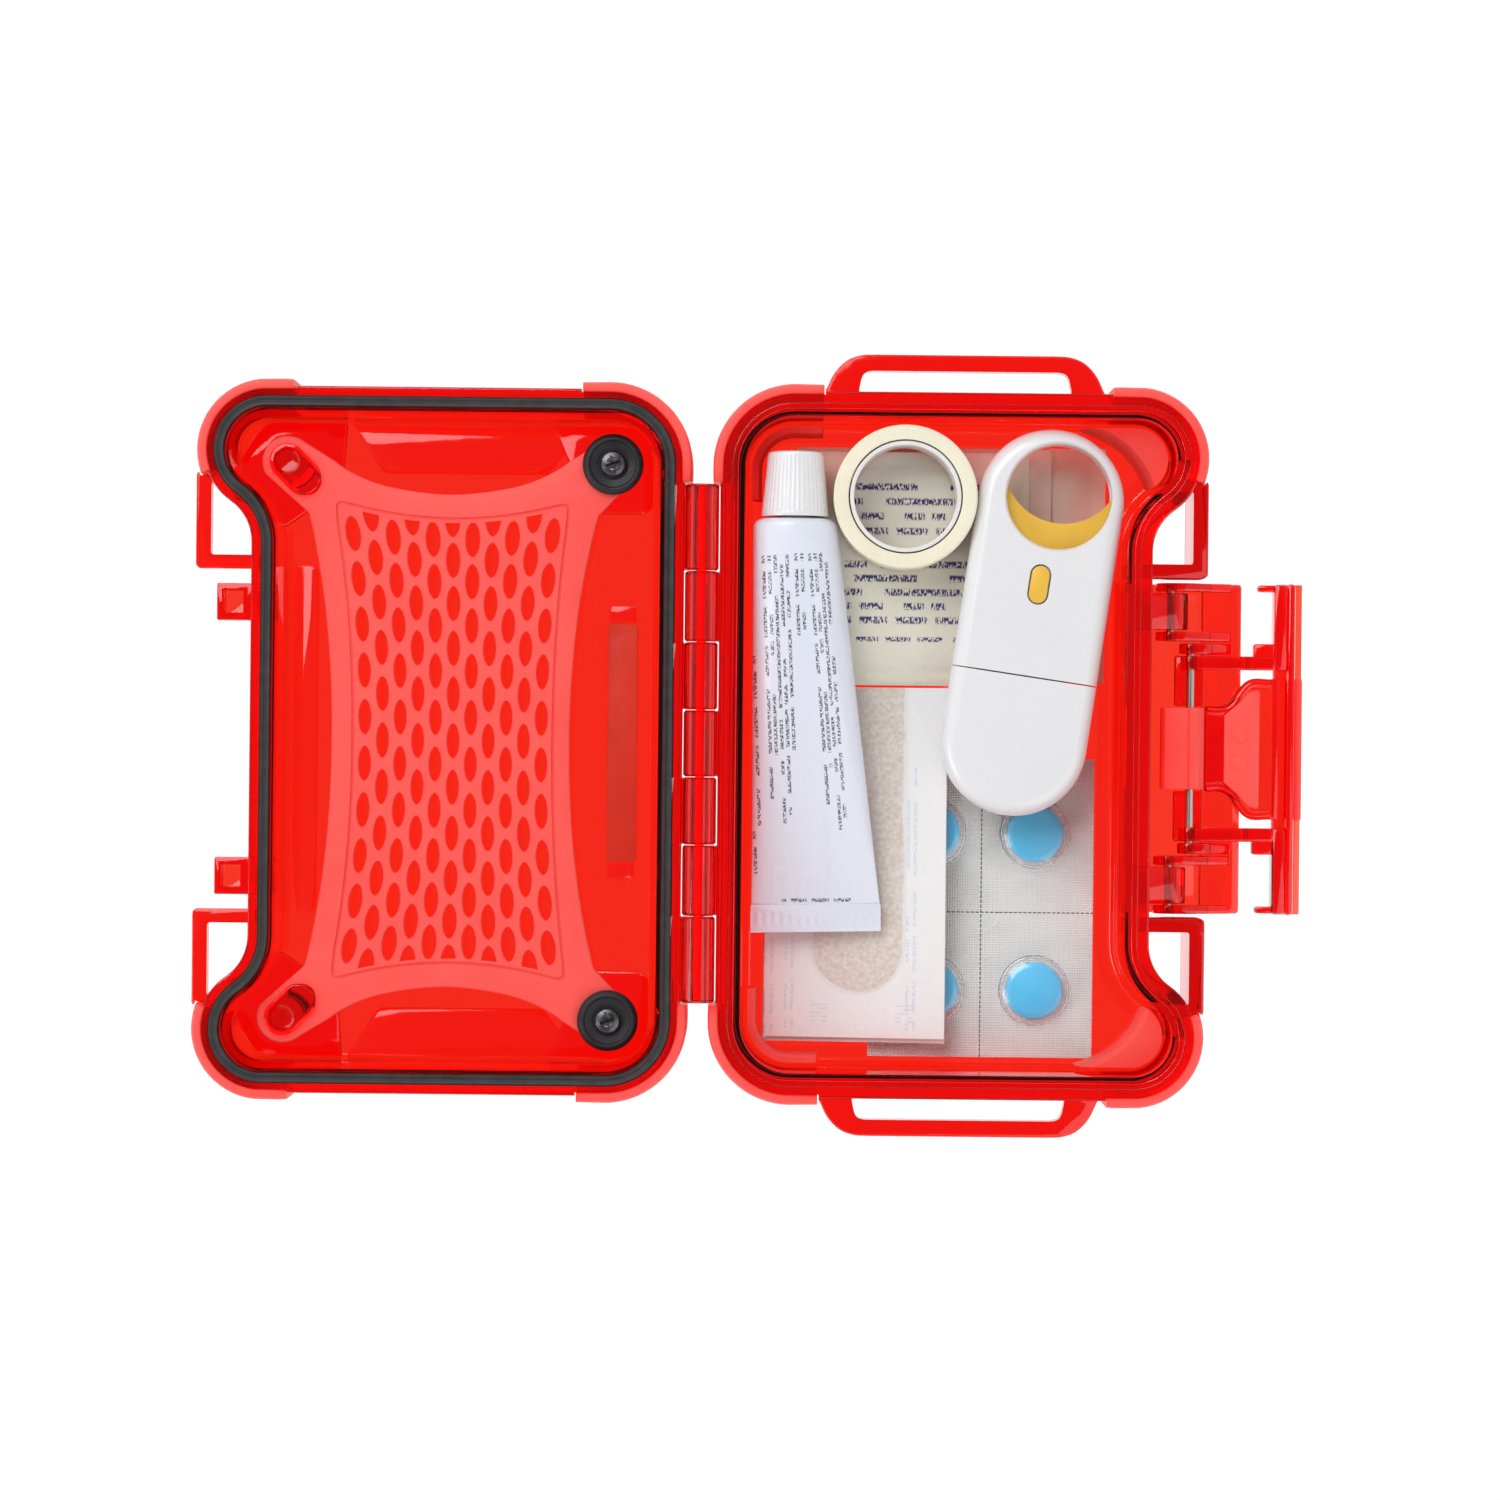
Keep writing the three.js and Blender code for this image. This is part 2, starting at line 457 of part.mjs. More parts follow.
const bevelled = (points, z0, z1, size) => {
  const shape = new THREE.Shape(points.map(([x, y]) => new THREE.Vector2(x, y)));
  return solid(new THREE.ExtrudeGeometry(shape, {
    depth: z1 - z0 - 2 * size, bevelEnabled: true, bevelSize: size, bevelThickness: size,
    bevelOffset: -size, bevelSegments: 2, curveSegments: 8,
  }).translate(0, 0, z0 + size));
};
// Tool pieces lie in the tool's own frame: head centre at the origin, the cap towards -y.
const RING = { u: 1.5, y: 1.4, r: 11.35 };
function toolBody() {
  const stem = [[-TOOL.r, TOOL.split], [TOOL.r, TOOL.split], ...arc(0, 0, TOOL.r, 0, 180, 20)];
  const body = join(bevelled(stem, 0, TOOL.thick, 2.6),
    block(-9, 9, -62, TOOL.split + 4, 3.2, 6.8));
  const slot = roundedSheet(-2.3, 2.3, -22.4, -13.6, TOOL.thick - 1.4, TOOL.thick + 1, 2.2);
  const crescent = rodZ(RING.u, RING.y - 2.4, 3, 7, RING.r + 1.3, 32);
  return cut(body, rodZ(RING.u, RING.y, -1, 12, RING.r, 32), slot, crescent);
}
function toolSlider() {
  return cut(rodZ(RING.u, RING.y - 2.7, 3.3, 6.7, RING.r + 1, 32),
    rodZ(RING.u, RING.y + 7.2, 0, 10, RING.r + 1.5, 32));
}
const toolWindow = () => roundedSheet(-2, 2, -22.1, -13.9, TOOL.thick - 1.1, TOOL.thick - 0.2, 1.9);
function toolCap() {
  const straight = TOOL.end + TOOL.r;
  const body = [[TOOL.r, TOOL.split - GAP], [-TOOL.r, TOOL.split - GAP], ...arc(0, straight, TOOL.r, 180, 360, 20)];
  return cut(bevelled(body, 0, TOOL.thick, 2.6), block(-9.4, 9.4, -62.5, TOOL.split + 4, 2.9, 7.1));
}

// ---------------------------------------------------------------- assembly
const kit = new THREE.Group();
const base = new THREE.Group();
const lid = new THREE.Group();
base.position.x = HINGE_X;
lid.position.x = HINGE_X;
lid.rotation.z = Math.PI;
kit.add(base, lid);

function add(parent, name, body, material, place = {}) {
  const mesh = new THREE.Mesh(geometryOf(body), material);
  mesh.name = name;
  mesh.position.set(place.x ?? 0, place.y ?? 0, place.z ?? 0);
  parent.add(mesh);
  return mesh;
}
const SIDES = [['north', 1], ['south', -1]];

add(base, 'base_shell', baseShell(), RED_CLEAR);
add(lid, 'lid_shell', lidShell(), RED_CLEAR);
for (const [where, side] of SIDES) {
  for (const [end, atLatch] of [['latch', true], ['hinge', false]]) {
    add(base, `base_bumper_${end}_${where}`, sweepCorner(BUMPER, cornerStations(atLatch), side), CORAL);
    add(base, `corner_pad_${end}_${where}`, innerPad(atLatch, side), CORAL);
    // the lid's own y axis points the other way
    add(lid, `lid_bumper_${end}_${where}`, sweepCorner(BUMPER, cornerStations(atLatch), -side), CORAL);
  }
}
add(base, 'hinge_pin', rodY(0, HINGE_Z, -55.2, 55.2, PIN_R, 12), STEEL);

const gasket = cut(layers([[1.25, RIM_Z - 2.1], [1.25, RIM_Z - 0.9], [0.9, RIM_Z - 0.5]]),
  layers([[-1.25, RIM_Z - 3], [-1.25, RIM_Z - 0.9], [-0.9, RIM_Z - 0.45], [-0.9, RIM_Z]]));
add(lid, 'lid_gasket', gasket, BLACK_RUBBER);
add(lid, 'lid_web', web(), CORAL);
add(lid, 'lid_label_plate', roundedSheet(14, 20.5, -26, 26, LAYER, LAYER + 0.5, 0.8), LABEL);
for (const [where, side] of SIDES) {
  const latchSpot = { x: WEB.armU, y: -side * WEB.armY };
  const hingeSpot = { x: WEB.armHingeU, y: -side * WEB.armY };
  add(lid, `web_post_${where}`, webPost(), RED_CLEAR, latchSpot);
  add(lid, `web_washer_${where}`, washer(), BLACK_RUBBER, hingeSpot);
  add(lid, `web_screw_${where}`, webScrew(), DARK_STEEL, hingeSpot);
}

add(base, 'latch_shelf', block(SHELF.u0, SHELF.u1, -SHELF.halfY, SHELF.halfY, 0, SHELF.z), RED_CLEAR);
add(base, 'latch_link', latchLink(), RED_CLEAR);
for (const [where, side] of SIDES) {
  const [y0, y1] = side > 0 ? [23.6, 35.8] : [-35.8, -23.6];
  add(base, `latch_link_pin_${where}`, rodY(LINK_PIN.u, LINK_PIN.z, y0, y1, PIN_R, 12), STEEL);
}
add(base, 'latch_claw_pin', rodY(CLAW_PIN.u, CLAW_PIN.z, -22.7, 22.7, PIN_R, 12), STEEL);
add(base, 'latch_claw', latchClaw(), RED_CLEAR);
add(base, 'latch_pad', latchPad(), CORAL);
add(base, 'latch_grip', latchGrip(), CORAL);
add(base, 'latch_thumb_bar', thumbBar(), CORAL);

const foilZ = LAYER;
add(base, 'blister_foil', roundedSheet(CARD.u0, CARD.u1, CARD.y0, CARD.y1, foilZ, foilZ + 0.2, 2), FOIL);
add(base, 'blister_card', blisterCard(), BLISTER);
DOME.us.forEach((u, i) => DOME.ys.forEach((y, j) => {
  add(base, `tablet_${2 * i + j + 1}`, tablet(), TABLET, { x: u, y });
}));

const wrappers = new THREE.Group();
wrappers.position.set(WRAP.u0, 0, LAYER + 0.2);
wrappers.rotation.y = -THREE.MathUtils.degToRad(WRAP.tilt);
base.add(wrappers);
const wrapW = (WRAP.u1 - WRAP.u0) / Math.cos(THREE.MathUtils.degToRad(WRAP.tilt));
add(wrappers, 'bandage_wrapper_lower', roundedSheet(0, wrapW, WRAP.y0, WRAP.y1 - 1, 0, 0.4, 1), WRAPPER);
add(wrappers, 'bandage_strip',
  plate([[10.6, WRAP.y1 - 4], [10.6, -44], ...arc(20.6, -44, 10, 180, 360, 12), [30.6, WRAP.y1 - 4]], 0.7, 1.1), STRIP);
add(wrappers, 'bandage_wrapper_upper', roundedSheet(0.4, wrapW, WRAP.y0 + 1, WRAP.y1, 1.4, 1.7, 1), WRAPPER);

const pouches = [['bottom', 36, 88, 14, 65.4, PAPER_PINK], ['middle', 20.4, 76, 13.8, 65, PAPER_PINK],
  ['top', 19, 71, 13.1, 64, PAPER]];
pouches.forEach(([level, u0, u1, y0, y1, material], i) => {
  const z = LAYER + i * (POUCH_T + GAP);
  add(base, `swab_pouch_${level}`, roundedSheet(u0, u1, y0, y1, z, z + POUCH_T, 1), material);
});

const rollRing = (r0, r1, z0, z1) => lathe([[r0, z0], [r1, z0], [r1, z1], [r0, z1], [r0, z0]], 32);
add(base, 'tape_roll', rollRing(TAPE.innerR, TAPE.outerR, STACK_Z, STACK_Z + TAPE.width), TAPE_CREAM,
  { x: TAPE.u, y: TAPE.y });
add(base, 'tape_core', rollRing(TAPE.innerR - 1.5, TAPE.innerR - GAP, STACK_Z, STACK_Z + TAPE.width), CORE_CLEAR,
  { x: TAPE.u, y: TAPE.y });
add(base, 'tube_body', tubeBody(), TUBE_WHITE);
add(base, 'tube_cap', tubeCap(), WHITE);

const tool = new THREE.Group();
tool.position.set(TOOL.u, TOOL.y, TOOL.z);
tool.rotation.z = THREE.MathUtils.degToRad(TOOL.tilt);
base.add(tool);
add(tool, 'tool_body', toolBody(), WHITE);
add(tool, 'tool_slider', toolSlider(), YELLOW);
add(tool, 'tool_window', toolWindow(), YELLOW);
add(tool, 'tool_cap', toolCap(), WHITE);

export default kit;
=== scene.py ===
"""First aid kit in a small translucent hard case, lying open: the looks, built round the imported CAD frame.

Pieces are drawn in millimetres in a half frame (u away from the hinge axis, y along it, z up from the
half's outside face) and placed by BASE or LID, which come from the frame's own hinge.
"""
import json
import math

import bmesh
import bpy
from mathutils import Matrix, Vector, noise

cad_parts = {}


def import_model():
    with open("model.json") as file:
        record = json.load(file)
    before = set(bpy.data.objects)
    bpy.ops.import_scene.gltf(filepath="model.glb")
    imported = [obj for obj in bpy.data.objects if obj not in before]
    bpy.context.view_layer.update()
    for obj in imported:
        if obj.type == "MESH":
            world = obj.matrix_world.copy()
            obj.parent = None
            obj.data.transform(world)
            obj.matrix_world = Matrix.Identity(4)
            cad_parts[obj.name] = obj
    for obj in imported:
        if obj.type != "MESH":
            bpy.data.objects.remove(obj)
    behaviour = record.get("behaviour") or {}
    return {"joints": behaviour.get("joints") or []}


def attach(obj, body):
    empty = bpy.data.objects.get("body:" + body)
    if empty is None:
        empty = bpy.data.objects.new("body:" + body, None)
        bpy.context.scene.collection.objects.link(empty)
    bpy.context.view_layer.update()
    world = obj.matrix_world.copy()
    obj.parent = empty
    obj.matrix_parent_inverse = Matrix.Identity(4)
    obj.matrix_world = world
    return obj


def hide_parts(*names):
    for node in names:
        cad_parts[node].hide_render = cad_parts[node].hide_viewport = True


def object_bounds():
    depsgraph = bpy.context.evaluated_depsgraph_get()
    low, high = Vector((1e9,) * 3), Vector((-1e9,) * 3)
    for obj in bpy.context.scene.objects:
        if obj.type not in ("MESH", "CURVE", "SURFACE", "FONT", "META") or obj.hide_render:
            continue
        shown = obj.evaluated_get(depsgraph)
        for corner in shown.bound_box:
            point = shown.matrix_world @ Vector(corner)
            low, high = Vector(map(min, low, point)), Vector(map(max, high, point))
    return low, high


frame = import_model()
CAD_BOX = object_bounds()

MM = 0.001
JOINTS = {j["name"]: j for j in frame["joints"]}
HINGE = Vector(JOINTS["lid_hinge"]["pos_m"]) / MM
BASE = Matrix.Scale(MM, 4) @ Matrix.Translation((HINGE.x, 0, 0))
LID = BASE @ Matrix.Rotation(math.pi, 4, "Z")


# ------------------------------------------------------------------ mesh helpers
def arc(cx, cy, r, start, end, steps):
    """Points of an arc, angles in degrees."""
    turns = [math.radians(start + (end - start) * i / steps) for i in range(steps + 1)]
    return [(cx + r * math.cos(a), cy + r * math.sin(a)) for a in turns]


def rounded(corners, closed=True, steps=4):
    """A polyline with filleted corners. A corner is (x, y) or (x, y, radius)."""
    points = []
    count = len(corners)
    for i, corner in enumerate(corners):
        p = Vector(corner[:2])
        radius = corner[2] if len(corner) > 2 else 0
        if radius == 0 or (not closed and i in (0, count - 1)):
            points.append(tuple(p))
            continue
        before = Vector(corners[i - 1][:2]) - p
        after = Vector(corners[(i + 1) % count][:2]) - p
        half = before.angle(after) / 2
        reach = min(radius / math.tan(half), before.length * 0.49, after.length * 0.49)
        a = p + before.normalized() * reach
        b = p + after.normalized() * reach
        for k in range(steps + 1):
            t = k / steps
            points.append(tuple(a * (1 - t) ** 2 + p * 2 * t * (1 - t) + b * t**2))
    return points


def spline(points, steps=6):
    """A smooth open curve through points (Catmull-Rom)."""
    through = [Vector(p) for p in points]
    through = [through[0] * 2 - through[1], *through, through[-1] * 2 - through[-2]]
    made = []
    for a, b, c, d in zip(through, through[1:], through[2:], through[3:]):
        for i in range(steps):
            t = i / steps
            made.append(tuple(0.5 * (2 * b + (c - a) * t + (2 * a - 5 * b + 4 * c - d) * t**2
                                     + (3 * b - a - 3 * c + d) * t**3)))
    return [*made, tuple(through[-2])]


def mesh_piece(name, bm, place, material, body, replaced=(), smooth=32):
    """Makes an object from a bmesh drawn in millimetres, and hands it to the frame."""
    bmesh.ops.recalc_face_normals(bm, faces=bm.faces)
    bm.transform(place)
    mesh = bpy.data.meshes.new(name)
    bm.to_mesh(mesh)
    bm.free()
    piece = bpy.data.objects.new(name, mesh)
    bpy.context.scene.collection.objects.link(piece)
    shade(mesh, smooth)
    mesh.materials.append(material)
    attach(piece, body)
    if replaced:
        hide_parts(*([replaced] if isinstance(replaced, str) else replaced))
    return piece


def fine(node, bm, place, material, body, smooth=32):
    """The piece that takes the place of one CAD node, named after it."""
    return mesh_piece(node + "_fine", bm, place, material, body, node, smooth)


def shade(mesh, angle):
    mesh.shade_smooth()
    mesh.set_sharp_from_angle(angle=math.radians(angle))


def loft(rings, cap=True, loop=False):
    """A skin through rings of equal length; capped flat at both ends, or closed into a loop."""
    bm = bmesh.new()
    rows = [[bm.verts.new(p) for p in ring] for ring in rings]
    pairs = list(zip(rows, rows[1:] + rows[:1])) if loop else list(zip(rows, rows[1:]))
    for low, high in pairs:
        for i in range(len(low)):
            j = (i + 1) % len(low)
            bm.faces.new((low[i], low[j], high[j], high[i]))
    if cap and not loop:
        bm.faces.new(rows[0][::-1])
        bm.faces.new(rows[-1])
    return bm


def lathe(profile, centre=(0, 0, 0), sides=48, axis="Z", closed=False):
    """Turns (radius, height) points about an axis through centre; closed for a ring profile."""
    turn = {"Z": Matrix.Identity(4), "Y": Matrix.Rotation(-math.pi / 2, 4, "X")}[axis]
    rings = []
    for r, z in profile:
        r = max(r, 1e-4)
        rings.append([(r * math.cos(a), r * math.sin(a), z)
                      for a in (2 * math.pi * k / sides for k in range(sides))])
    bm = loft(rings, cap=not closed, loop=closed)
    bm.transform(Matrix.Translation(centre) @ turn)
    return bm


def plate(points, z0, z1, bevel=0.0, segments=2):
    """A flat plate between two heights, its edges rounded."""
    bm = bmesh.new()
    face = bm.faces.new([bm.verts.new((x, y, z0)) for x, y in points])
    made = bmesh.ops.extrude_face_region(bm, geom=[face])
    moved = [v for v in made["geom"] if isinstance(v, bmesh.types.BMVert)]
    bmesh.ops.translate(bm, verts=moved, vec=(0, 0, z1 - z0))
    bmesh.ops.recalc_face_normals(bm, faces=bm.faces)
    if bevel:
        edges = [e for e in bm.edges if e.calc_face_angle(0) > math.radians(25)]
        bmesh.ops.bevel(bm, geom=edges, offset=bevel, segments=segments, profile=0.5,
                        affect="EDGES", clamp_overlap=True)
    return bm


def side_plate(points, y0, y1, bevel=0.0):
    """A plate drawn in the (u, z) plane and run along y."""
    bm = plate(points, y0, y1, bevel)
    bm.transform(Matrix(((1, 0, 0, 0), (0, 0, 1, 0), (0, 1, 0, 0), (0, 0, 0, 1))))
    bmesh.ops.recalc_face_normals(bm, faces=bm.faces)
    return bm


def block(low, high, bevel=0.0):
    (x0, y0, z0), (x1, y1, z1) = low, high
    return plate([(x0, y0), (x1, y0), (x1, y1), (x0, y1)], z0, z1, bevel)


def rod_y(u, z, y0, y1, r, sides=40, edge=0.3):
    return lathe([(0, y0), (r - edge, y0), (r, y0 + edge), (r, y1 - edge), (r - edge, y1), (0, y1)],
                 (u, 0, z), sides, "Y")


def rod_z(u, y, z0, z1, r, sides=48):
    return lathe([(0, z0), (r, z0), (r, z1), (0, z1)], (u, y, 0), sides)


def merged(*meshes):
    """Several bmeshes as one, not joined."""
    whole = bmesh.new()
    for bm in meshes:
        mesh = bpy.data.meshes.new("part")
        bm.to_mesh(mesh)
        bm.free()
        whole.from_mesh(mesh)
        bpy.data.meshes.remove(mesh)
    return whole


def mirrored(points):
    return [(x, -y) for x, y in reversed(points)]


def on_side(points, side):
    return points if side > 0 else mirrored(points)


def combine(body, operation, tools):
    """Joins or cuts solids, one after another."""
    def holder(bm):
        bmesh.ops.recalc_face_normals(bm, faces=bm.faces)
        mesh = bpy.data.meshes.new("solid")
        bm.to_mesh(mesh)
        bm.free()
        return bpy.data.objects.new("solid", mesh)

    host = holder(body)
    bpy.context.scene.collection.objects.link(host)
    helpers = []
    for tool in tools:
        helper = holder(tool)
        bpy.context.scene.collection.objects.link(helper)
        helpers.append(helper)
        step = host.modifiers.new("step", "BOOLEAN")
        step.operation = operation
        step.solver = "MANIFOLD"
        step.object = helper
    done = host.evaluated_get(bpy.context.evaluated_depsgraph_get())
    bm = bmesh.new()
    bm.from_mesh(done.to_mesh())
    done.to_mesh_clear()
    for item in [host, *helpers]:
        mesh = item.data
        bpy.data.objects.remove(item)
        bpy.data.meshes.remove(mesh)
    bmesh.ops.remove_doubles(bm, verts=bm.verts, dist=1e-4)
    return bm


def join(body, *tools):
    return combine(body, "UNION", tools)


def cut(body, *tools):
    return combine(body, "DIFFERENCE", tools)


# ------------------------------------------------------------------ materials
ROW_SHIFT, WORD_SHIFT, WORD_LENGTH = 7.31, 3.77, 7


def spot(u, y):
    """A place in the bottom half, in metres, for a material."""
    return (u + HINGE.x) * MM, y * MM, 0


class Surface:
    """A Principled material and the nodes that give it its detail."""

    def __init__(self, name, color, roughness, **inputs):
        self.material = bpy.data.materials.new(name)
        self.material.use_nodes = True
        self.tree = self.material.node_tree
        self.shader = self.tree.nodes["Principled BSDF"]
        self.coords = self.tree.nodes.new("ShaderNodeTexCoord")
        self.color = (*color, 1)
        self.roughness = roughness
        self.shader.inputs["Base Color"].default_value = self.color
        self.shader.inputs["Roughness"].default_value = roughness
        for key, value in inputs.items():
            self.shader.inputs[key.replace("_", " ")].default_value = value

    def link(self, a, b):
        self.tree.links.new(a, b)

    def node(self, kind, **settings):
        made = self.tree.nodes.new("ShaderNode" + kind)
        for key, value in settings.items():
            if key in made.inputs:
                made.inputs[key].default_value = value
            else:
                setattr(made, key, value)
        return made

    def noise(self, scale, detail=4, stretch=(1, 1, 1)):
        """Noise in the object's own space; scale is in features per metre."""
        mapping = self.node("Mapping", Scale=stretch)
        self.link(self.coords.outputs["Object"], mapping.inputs["Vector"])
        texture = self.node("TexNoise", Scale=scale, Detail=detail)
        self.link(mapping.outputs["Vector"], texture.inputs["Vector"])
        return texture.outputs["Fac"]

    def ramp(self, value, low, high, out_low=0.0, out_high=1.0):
        made = self.node("MapRange")
        self.link(value, made.inputs["Value"])
        for key, number in zip(("From Min", "From Max", "To Min", "To Max"),
                               (low, high, out_low, out_high)):
            made.inputs[key].default_value = number
        return made.outputs["Result"]

    def math(self, operation, a, b=0.0):
        made = self.node("Math", operation=operation)
        for socket, value in zip(made.inputs, (a, b)):
            if isinstance(value, (int, float)):
                socket.default_value = value
            else:
                self.link(value, socket)
        return made.outputs["Value"]

    def mix(self, factor, other, base=None):
        """Colours the surface with other where factor is 1."""
        made = self.node("Mix", data_type="RGBA")
        self.link(factor, made.inputs["Factor"])
        socket = self.shader.inputs["Base Color"]
        if socket.links:
            self.link(socket.links[0].from_socket, made.inputs["A"])
        else:
            made.inputs["A"].default_value = base or self.color
        made.inputs["B"].default_value = (*other, 1)
        self.link(made.outputs["Result"], socket)
        return self

    def mottle(self, scale, other, amount=0.5, stretch=(1, 1, 1)):
        return self.mix(self.ramp(self.noise(scale, 5, stretch), 0.35, 0.7, 0, amount), other)

    def uneven(self, scale, spread, stretch=(1, 1, 1)):
        """Roughness that varies by spread either way."""
        value = self.ramp(self.noise(scale, 5, stretch), 0.3, 0.7,
                          max(0.0, self.roughness - spread), self.roughness + spread)
        self.link(value, self.shader.inputs["Roughness"])
        return self

    def bump(self, height, distance, strength=1.0):
        """Adds a height, in metres, to whatever bump is there."""
        made = self.node("Bump", Strength=strength, Distance=distance)
        self.link(height, made.inputs["Height"])
        socket = self.shader.inputs["Normal"]
        if socket.links:
            self.link(socket.links[0].from_socket, made.inputs["Normal"])
        self.link(made.outputs["Normal"], socket)
        return self

    def grain(self, scale, distance, stretch=(1, 1, 1)):
        return self.bump(self.noise(scale, 6, stretch), distance)

    def axis(self, name, turn=0.0, origin=(0, 0, 0)):
        """One coordinate in millimetres, in a frame turned about Z at origin (metres)."""
        mapping = self.node("Mapping", vector_type="TEXTURE", Location=origin,
                            Rotation=(0, 0, math.radians(turn)), Scale=(MM, MM, MM))
        self.link(self.coords.outputs["Object"], mapping.inputs["Vector"])
        split = self.node("SeparateXYZ")
        self.link(mapping.outputs["Vector"], split.inputs["Vector"])
        return split.outputs[name]

    def band(self, value, low, high, soft=0.05):
        """1 between low and high, with soft edges."""
        rise = self.ramp(value, low - soft, low + soft)
        fall = self.ramp(value, high - soft, high + soft, 1, 0)
        return self.math("MULTIPLY", rise, fall)

    def print_rows(self, ink, origin, turn, width, height, pitch, cap, size, ragged=0.75):
        """Rows of made-up marks, like fine print seen from too far to read.

        The rows run along x from origin (metres) in a frame turned by turn degrees; width and height
        bound the block, pitch is the row spacing, cap the mark height and size the mark width.
        """
        along = self.axis("X", turn, origin)
        down = self.axis("Y", turn, origin)
        row = self.math("FLOOR", self.math("DIVIDE", down, pitch))
        inside = self.math("FRACT", self.math("DIVIDE", down, pitch))
        stroke = self.band(inside, 0.12, 0.12 + cap / pitch, 0.06)
        seed = self.node("CombineXYZ")
        self.link(self.math("DIVIDE", along, size), seed.inputs["X"])
        skew = self.math("ADD", self.math("MULTIPLY", row, ROW_SHIFT), self.math("DIVIDE", down, cap))
        self.link(skew, seed.inputs["Y"])
        letters = self.node("TexNoise", Scale=1.5, Detail=2)
        self.link(seed.outputs["Vector"], letters.inputs["Vector"])
        word = self.node("CombineXYZ")
        self.link(self.math("DIVIDE", along, size * WORD_LENGTH), word.inputs["X"])
        self.link(self.math("MULTIPLY", row, WORD_SHIFT), word.inputs["Y"])
        words = self.node("TexNoise", Scale=1.0, Detail=0)
        self.link(word.outputs["Vector"], words.inputs["Vector"])
        marks = self.math("MULTIPLY", self.ramp(letters.outputs["Fac"], 0.44, 0.52),
                          self.ramp(words.outputs["Fac"], 0.40, 0.42))
        ends = self.node("TexWhiteNoise", noise_dimensions="1D")
        self.link(row, ends.inputs["W"])
        last = self.ramp(ends.outputs["Value"], 0, 1, width * ragged, width)
        area = self.math("MULTIPLY", self.band(along, 0, width), self.band(down, 0, height))
        area = self.math("MULTIPLY", area, self.math("LESS_THAN", along, last))
        return self.mix(self.math("MULTIPLY", self.math("MULTIPLY", marks, stroke), area), ink)


def clear_red():
    """Tinted clear plastic: most of its colour comes from how thick it is."""
    made = Surface("clear_red", (0.985, 0.19, 0.09), 0.05, IOR=1.5, Transmission_Weight=1.0)
    depth = made.node("VolumeAbsorption", Color=(0.978, 0.05, 0.0, 1), Density=1000.0)
    output = made.tree.nodes["Material Output"]
    made.link(depth.outputs["Volume"], output.inputs["Volume"])
    let_light_pass(made, (0.98, 0.55, 0.45))
    return made.uneven(60, 0.03).grain(45, 0.00012).material


def coral():
    made = Surface("coral_rubber", (0.93, 0.090, 0.075), 0.5, Specular_IOR_Level=0.4)
    made.shader.inputs["Subsurface Weight"].default_value = 0.15
    made.shader.inputs["Subsurface Radius"].default_value = (0.004, 0.001, 0.001)
    return made.mottle(90, (0.80, 0.055, 0.05), 0.35).uneven(400, 0.08).grain(2600, 0.00003).material


def let_light_pass(made, tint):
    """Light passes straight through to what lies behind, tinted, instead of being stopped."""
    output = made.tree.nodes["Material Output"]
    path, passing, either = made.node("LightPath"), made.node("BsdfTransparent"), made.node("MixShader")
    passing.inputs["Color"].default_value = (*tint, 1)
    made.link(path.outputs["Is Shadow Ray"], either.inputs[0])
    made.link(made.shader.outputs["BSDF"], either.inputs[1])
    made.link(passing.outputs["BSDF"], either.inputs[2])
    made.link(either.outputs["Shader"], output.inputs["Surface"])


def clear_film():
    made = Surface("clear_film", (0.97, 0.98, 0.98), 0.06, IOR=1.45, Transmission_Weight=1.0)
    let_light_pass(made, (0.97, 0.98, 0.98))
    return made.uneven(150, 0.04).grain(200, 0.00005).material


CLEAR_RED = clear_red()
CORAL = coral()
GASKET = Surface("gasket_rubber", (0.026, 0.026, 0.028), 0.5, Specular_IOR_Level=0.35).mottle(
    300, (0.05, 0.05, 0.053), 0.6).uneven(200, 0.12).grain(1800, 0.00004).material
WASHER = Surface("washer_rubber", (0.013, 0.014, 0.016), 0.42, Specular_IOR_Level=0.35).mottle(
    250, (0.028, 0.028, 0.031), 0.5).uneven(300, 0.12).grain(1500, 0.00005).material
STEEL = Surface("pin_steel", (0.62, 0.58, 0.54), 0.26, Metallic=1.0).uneven(
    900, 0.1, (1, 0.05, 1)).grain(2500, 0.00001, (1, 0.03, 1)).material
HINGE_STEEL = Surface("hinge_pin_steel", (0.86, 0.62, 0.46), 0.5, Metallic=0.3).uneven(
    900, 0.1, (1, 0.05, 1)).grain(2500, 0.00001, (1, 0.03, 1)).material
DARK_STEEL = Surface("screw_steel", (0.11, 0.11, 0.115), 0.34, Metallic=1.0).uneven(
    1200, 0.12).grain(3000, 0.00002).material
LABEL = Surface("label_recess", (0.74, 0.04, 0.015), 0.55, Specular_IOR_Level=0.3).mottle(
    120, (0.60, 0.035, 0.012), 0.5).uneven(300, 0.1).material
WHITE = Surface("white_plastic", (0.73, 0.73, 0.745), 0.24, Coat_Weight=0.25).mottle(
    50, (0.69, 0.69, 0.71), 0.4).uneven(120, 0.06).grain(1400, 0.00001).material
YELLOW = Surface("yellow_plastic", (0.78, 0.47, 0.06), 0.36).mottle(
    140, (0.70, 0.39, 0.04), 0.5).uneven(300, 0.08).grain(1800, 0.00002).material
TUBE_LAMINATE = Surface("tube_laminate", (0.68, 0.71, 0.80), 0.27, Coat_Weight=0.2).mottle(
    35, (0.74, 0.76, 0.83), 0.6, (1, 0.3, 1)).uneven(90, 0.07).grain(70, 0.0006, (1.6, 0.35, 1))
TUBE_LAMINATE.grain(900, 0.00003)
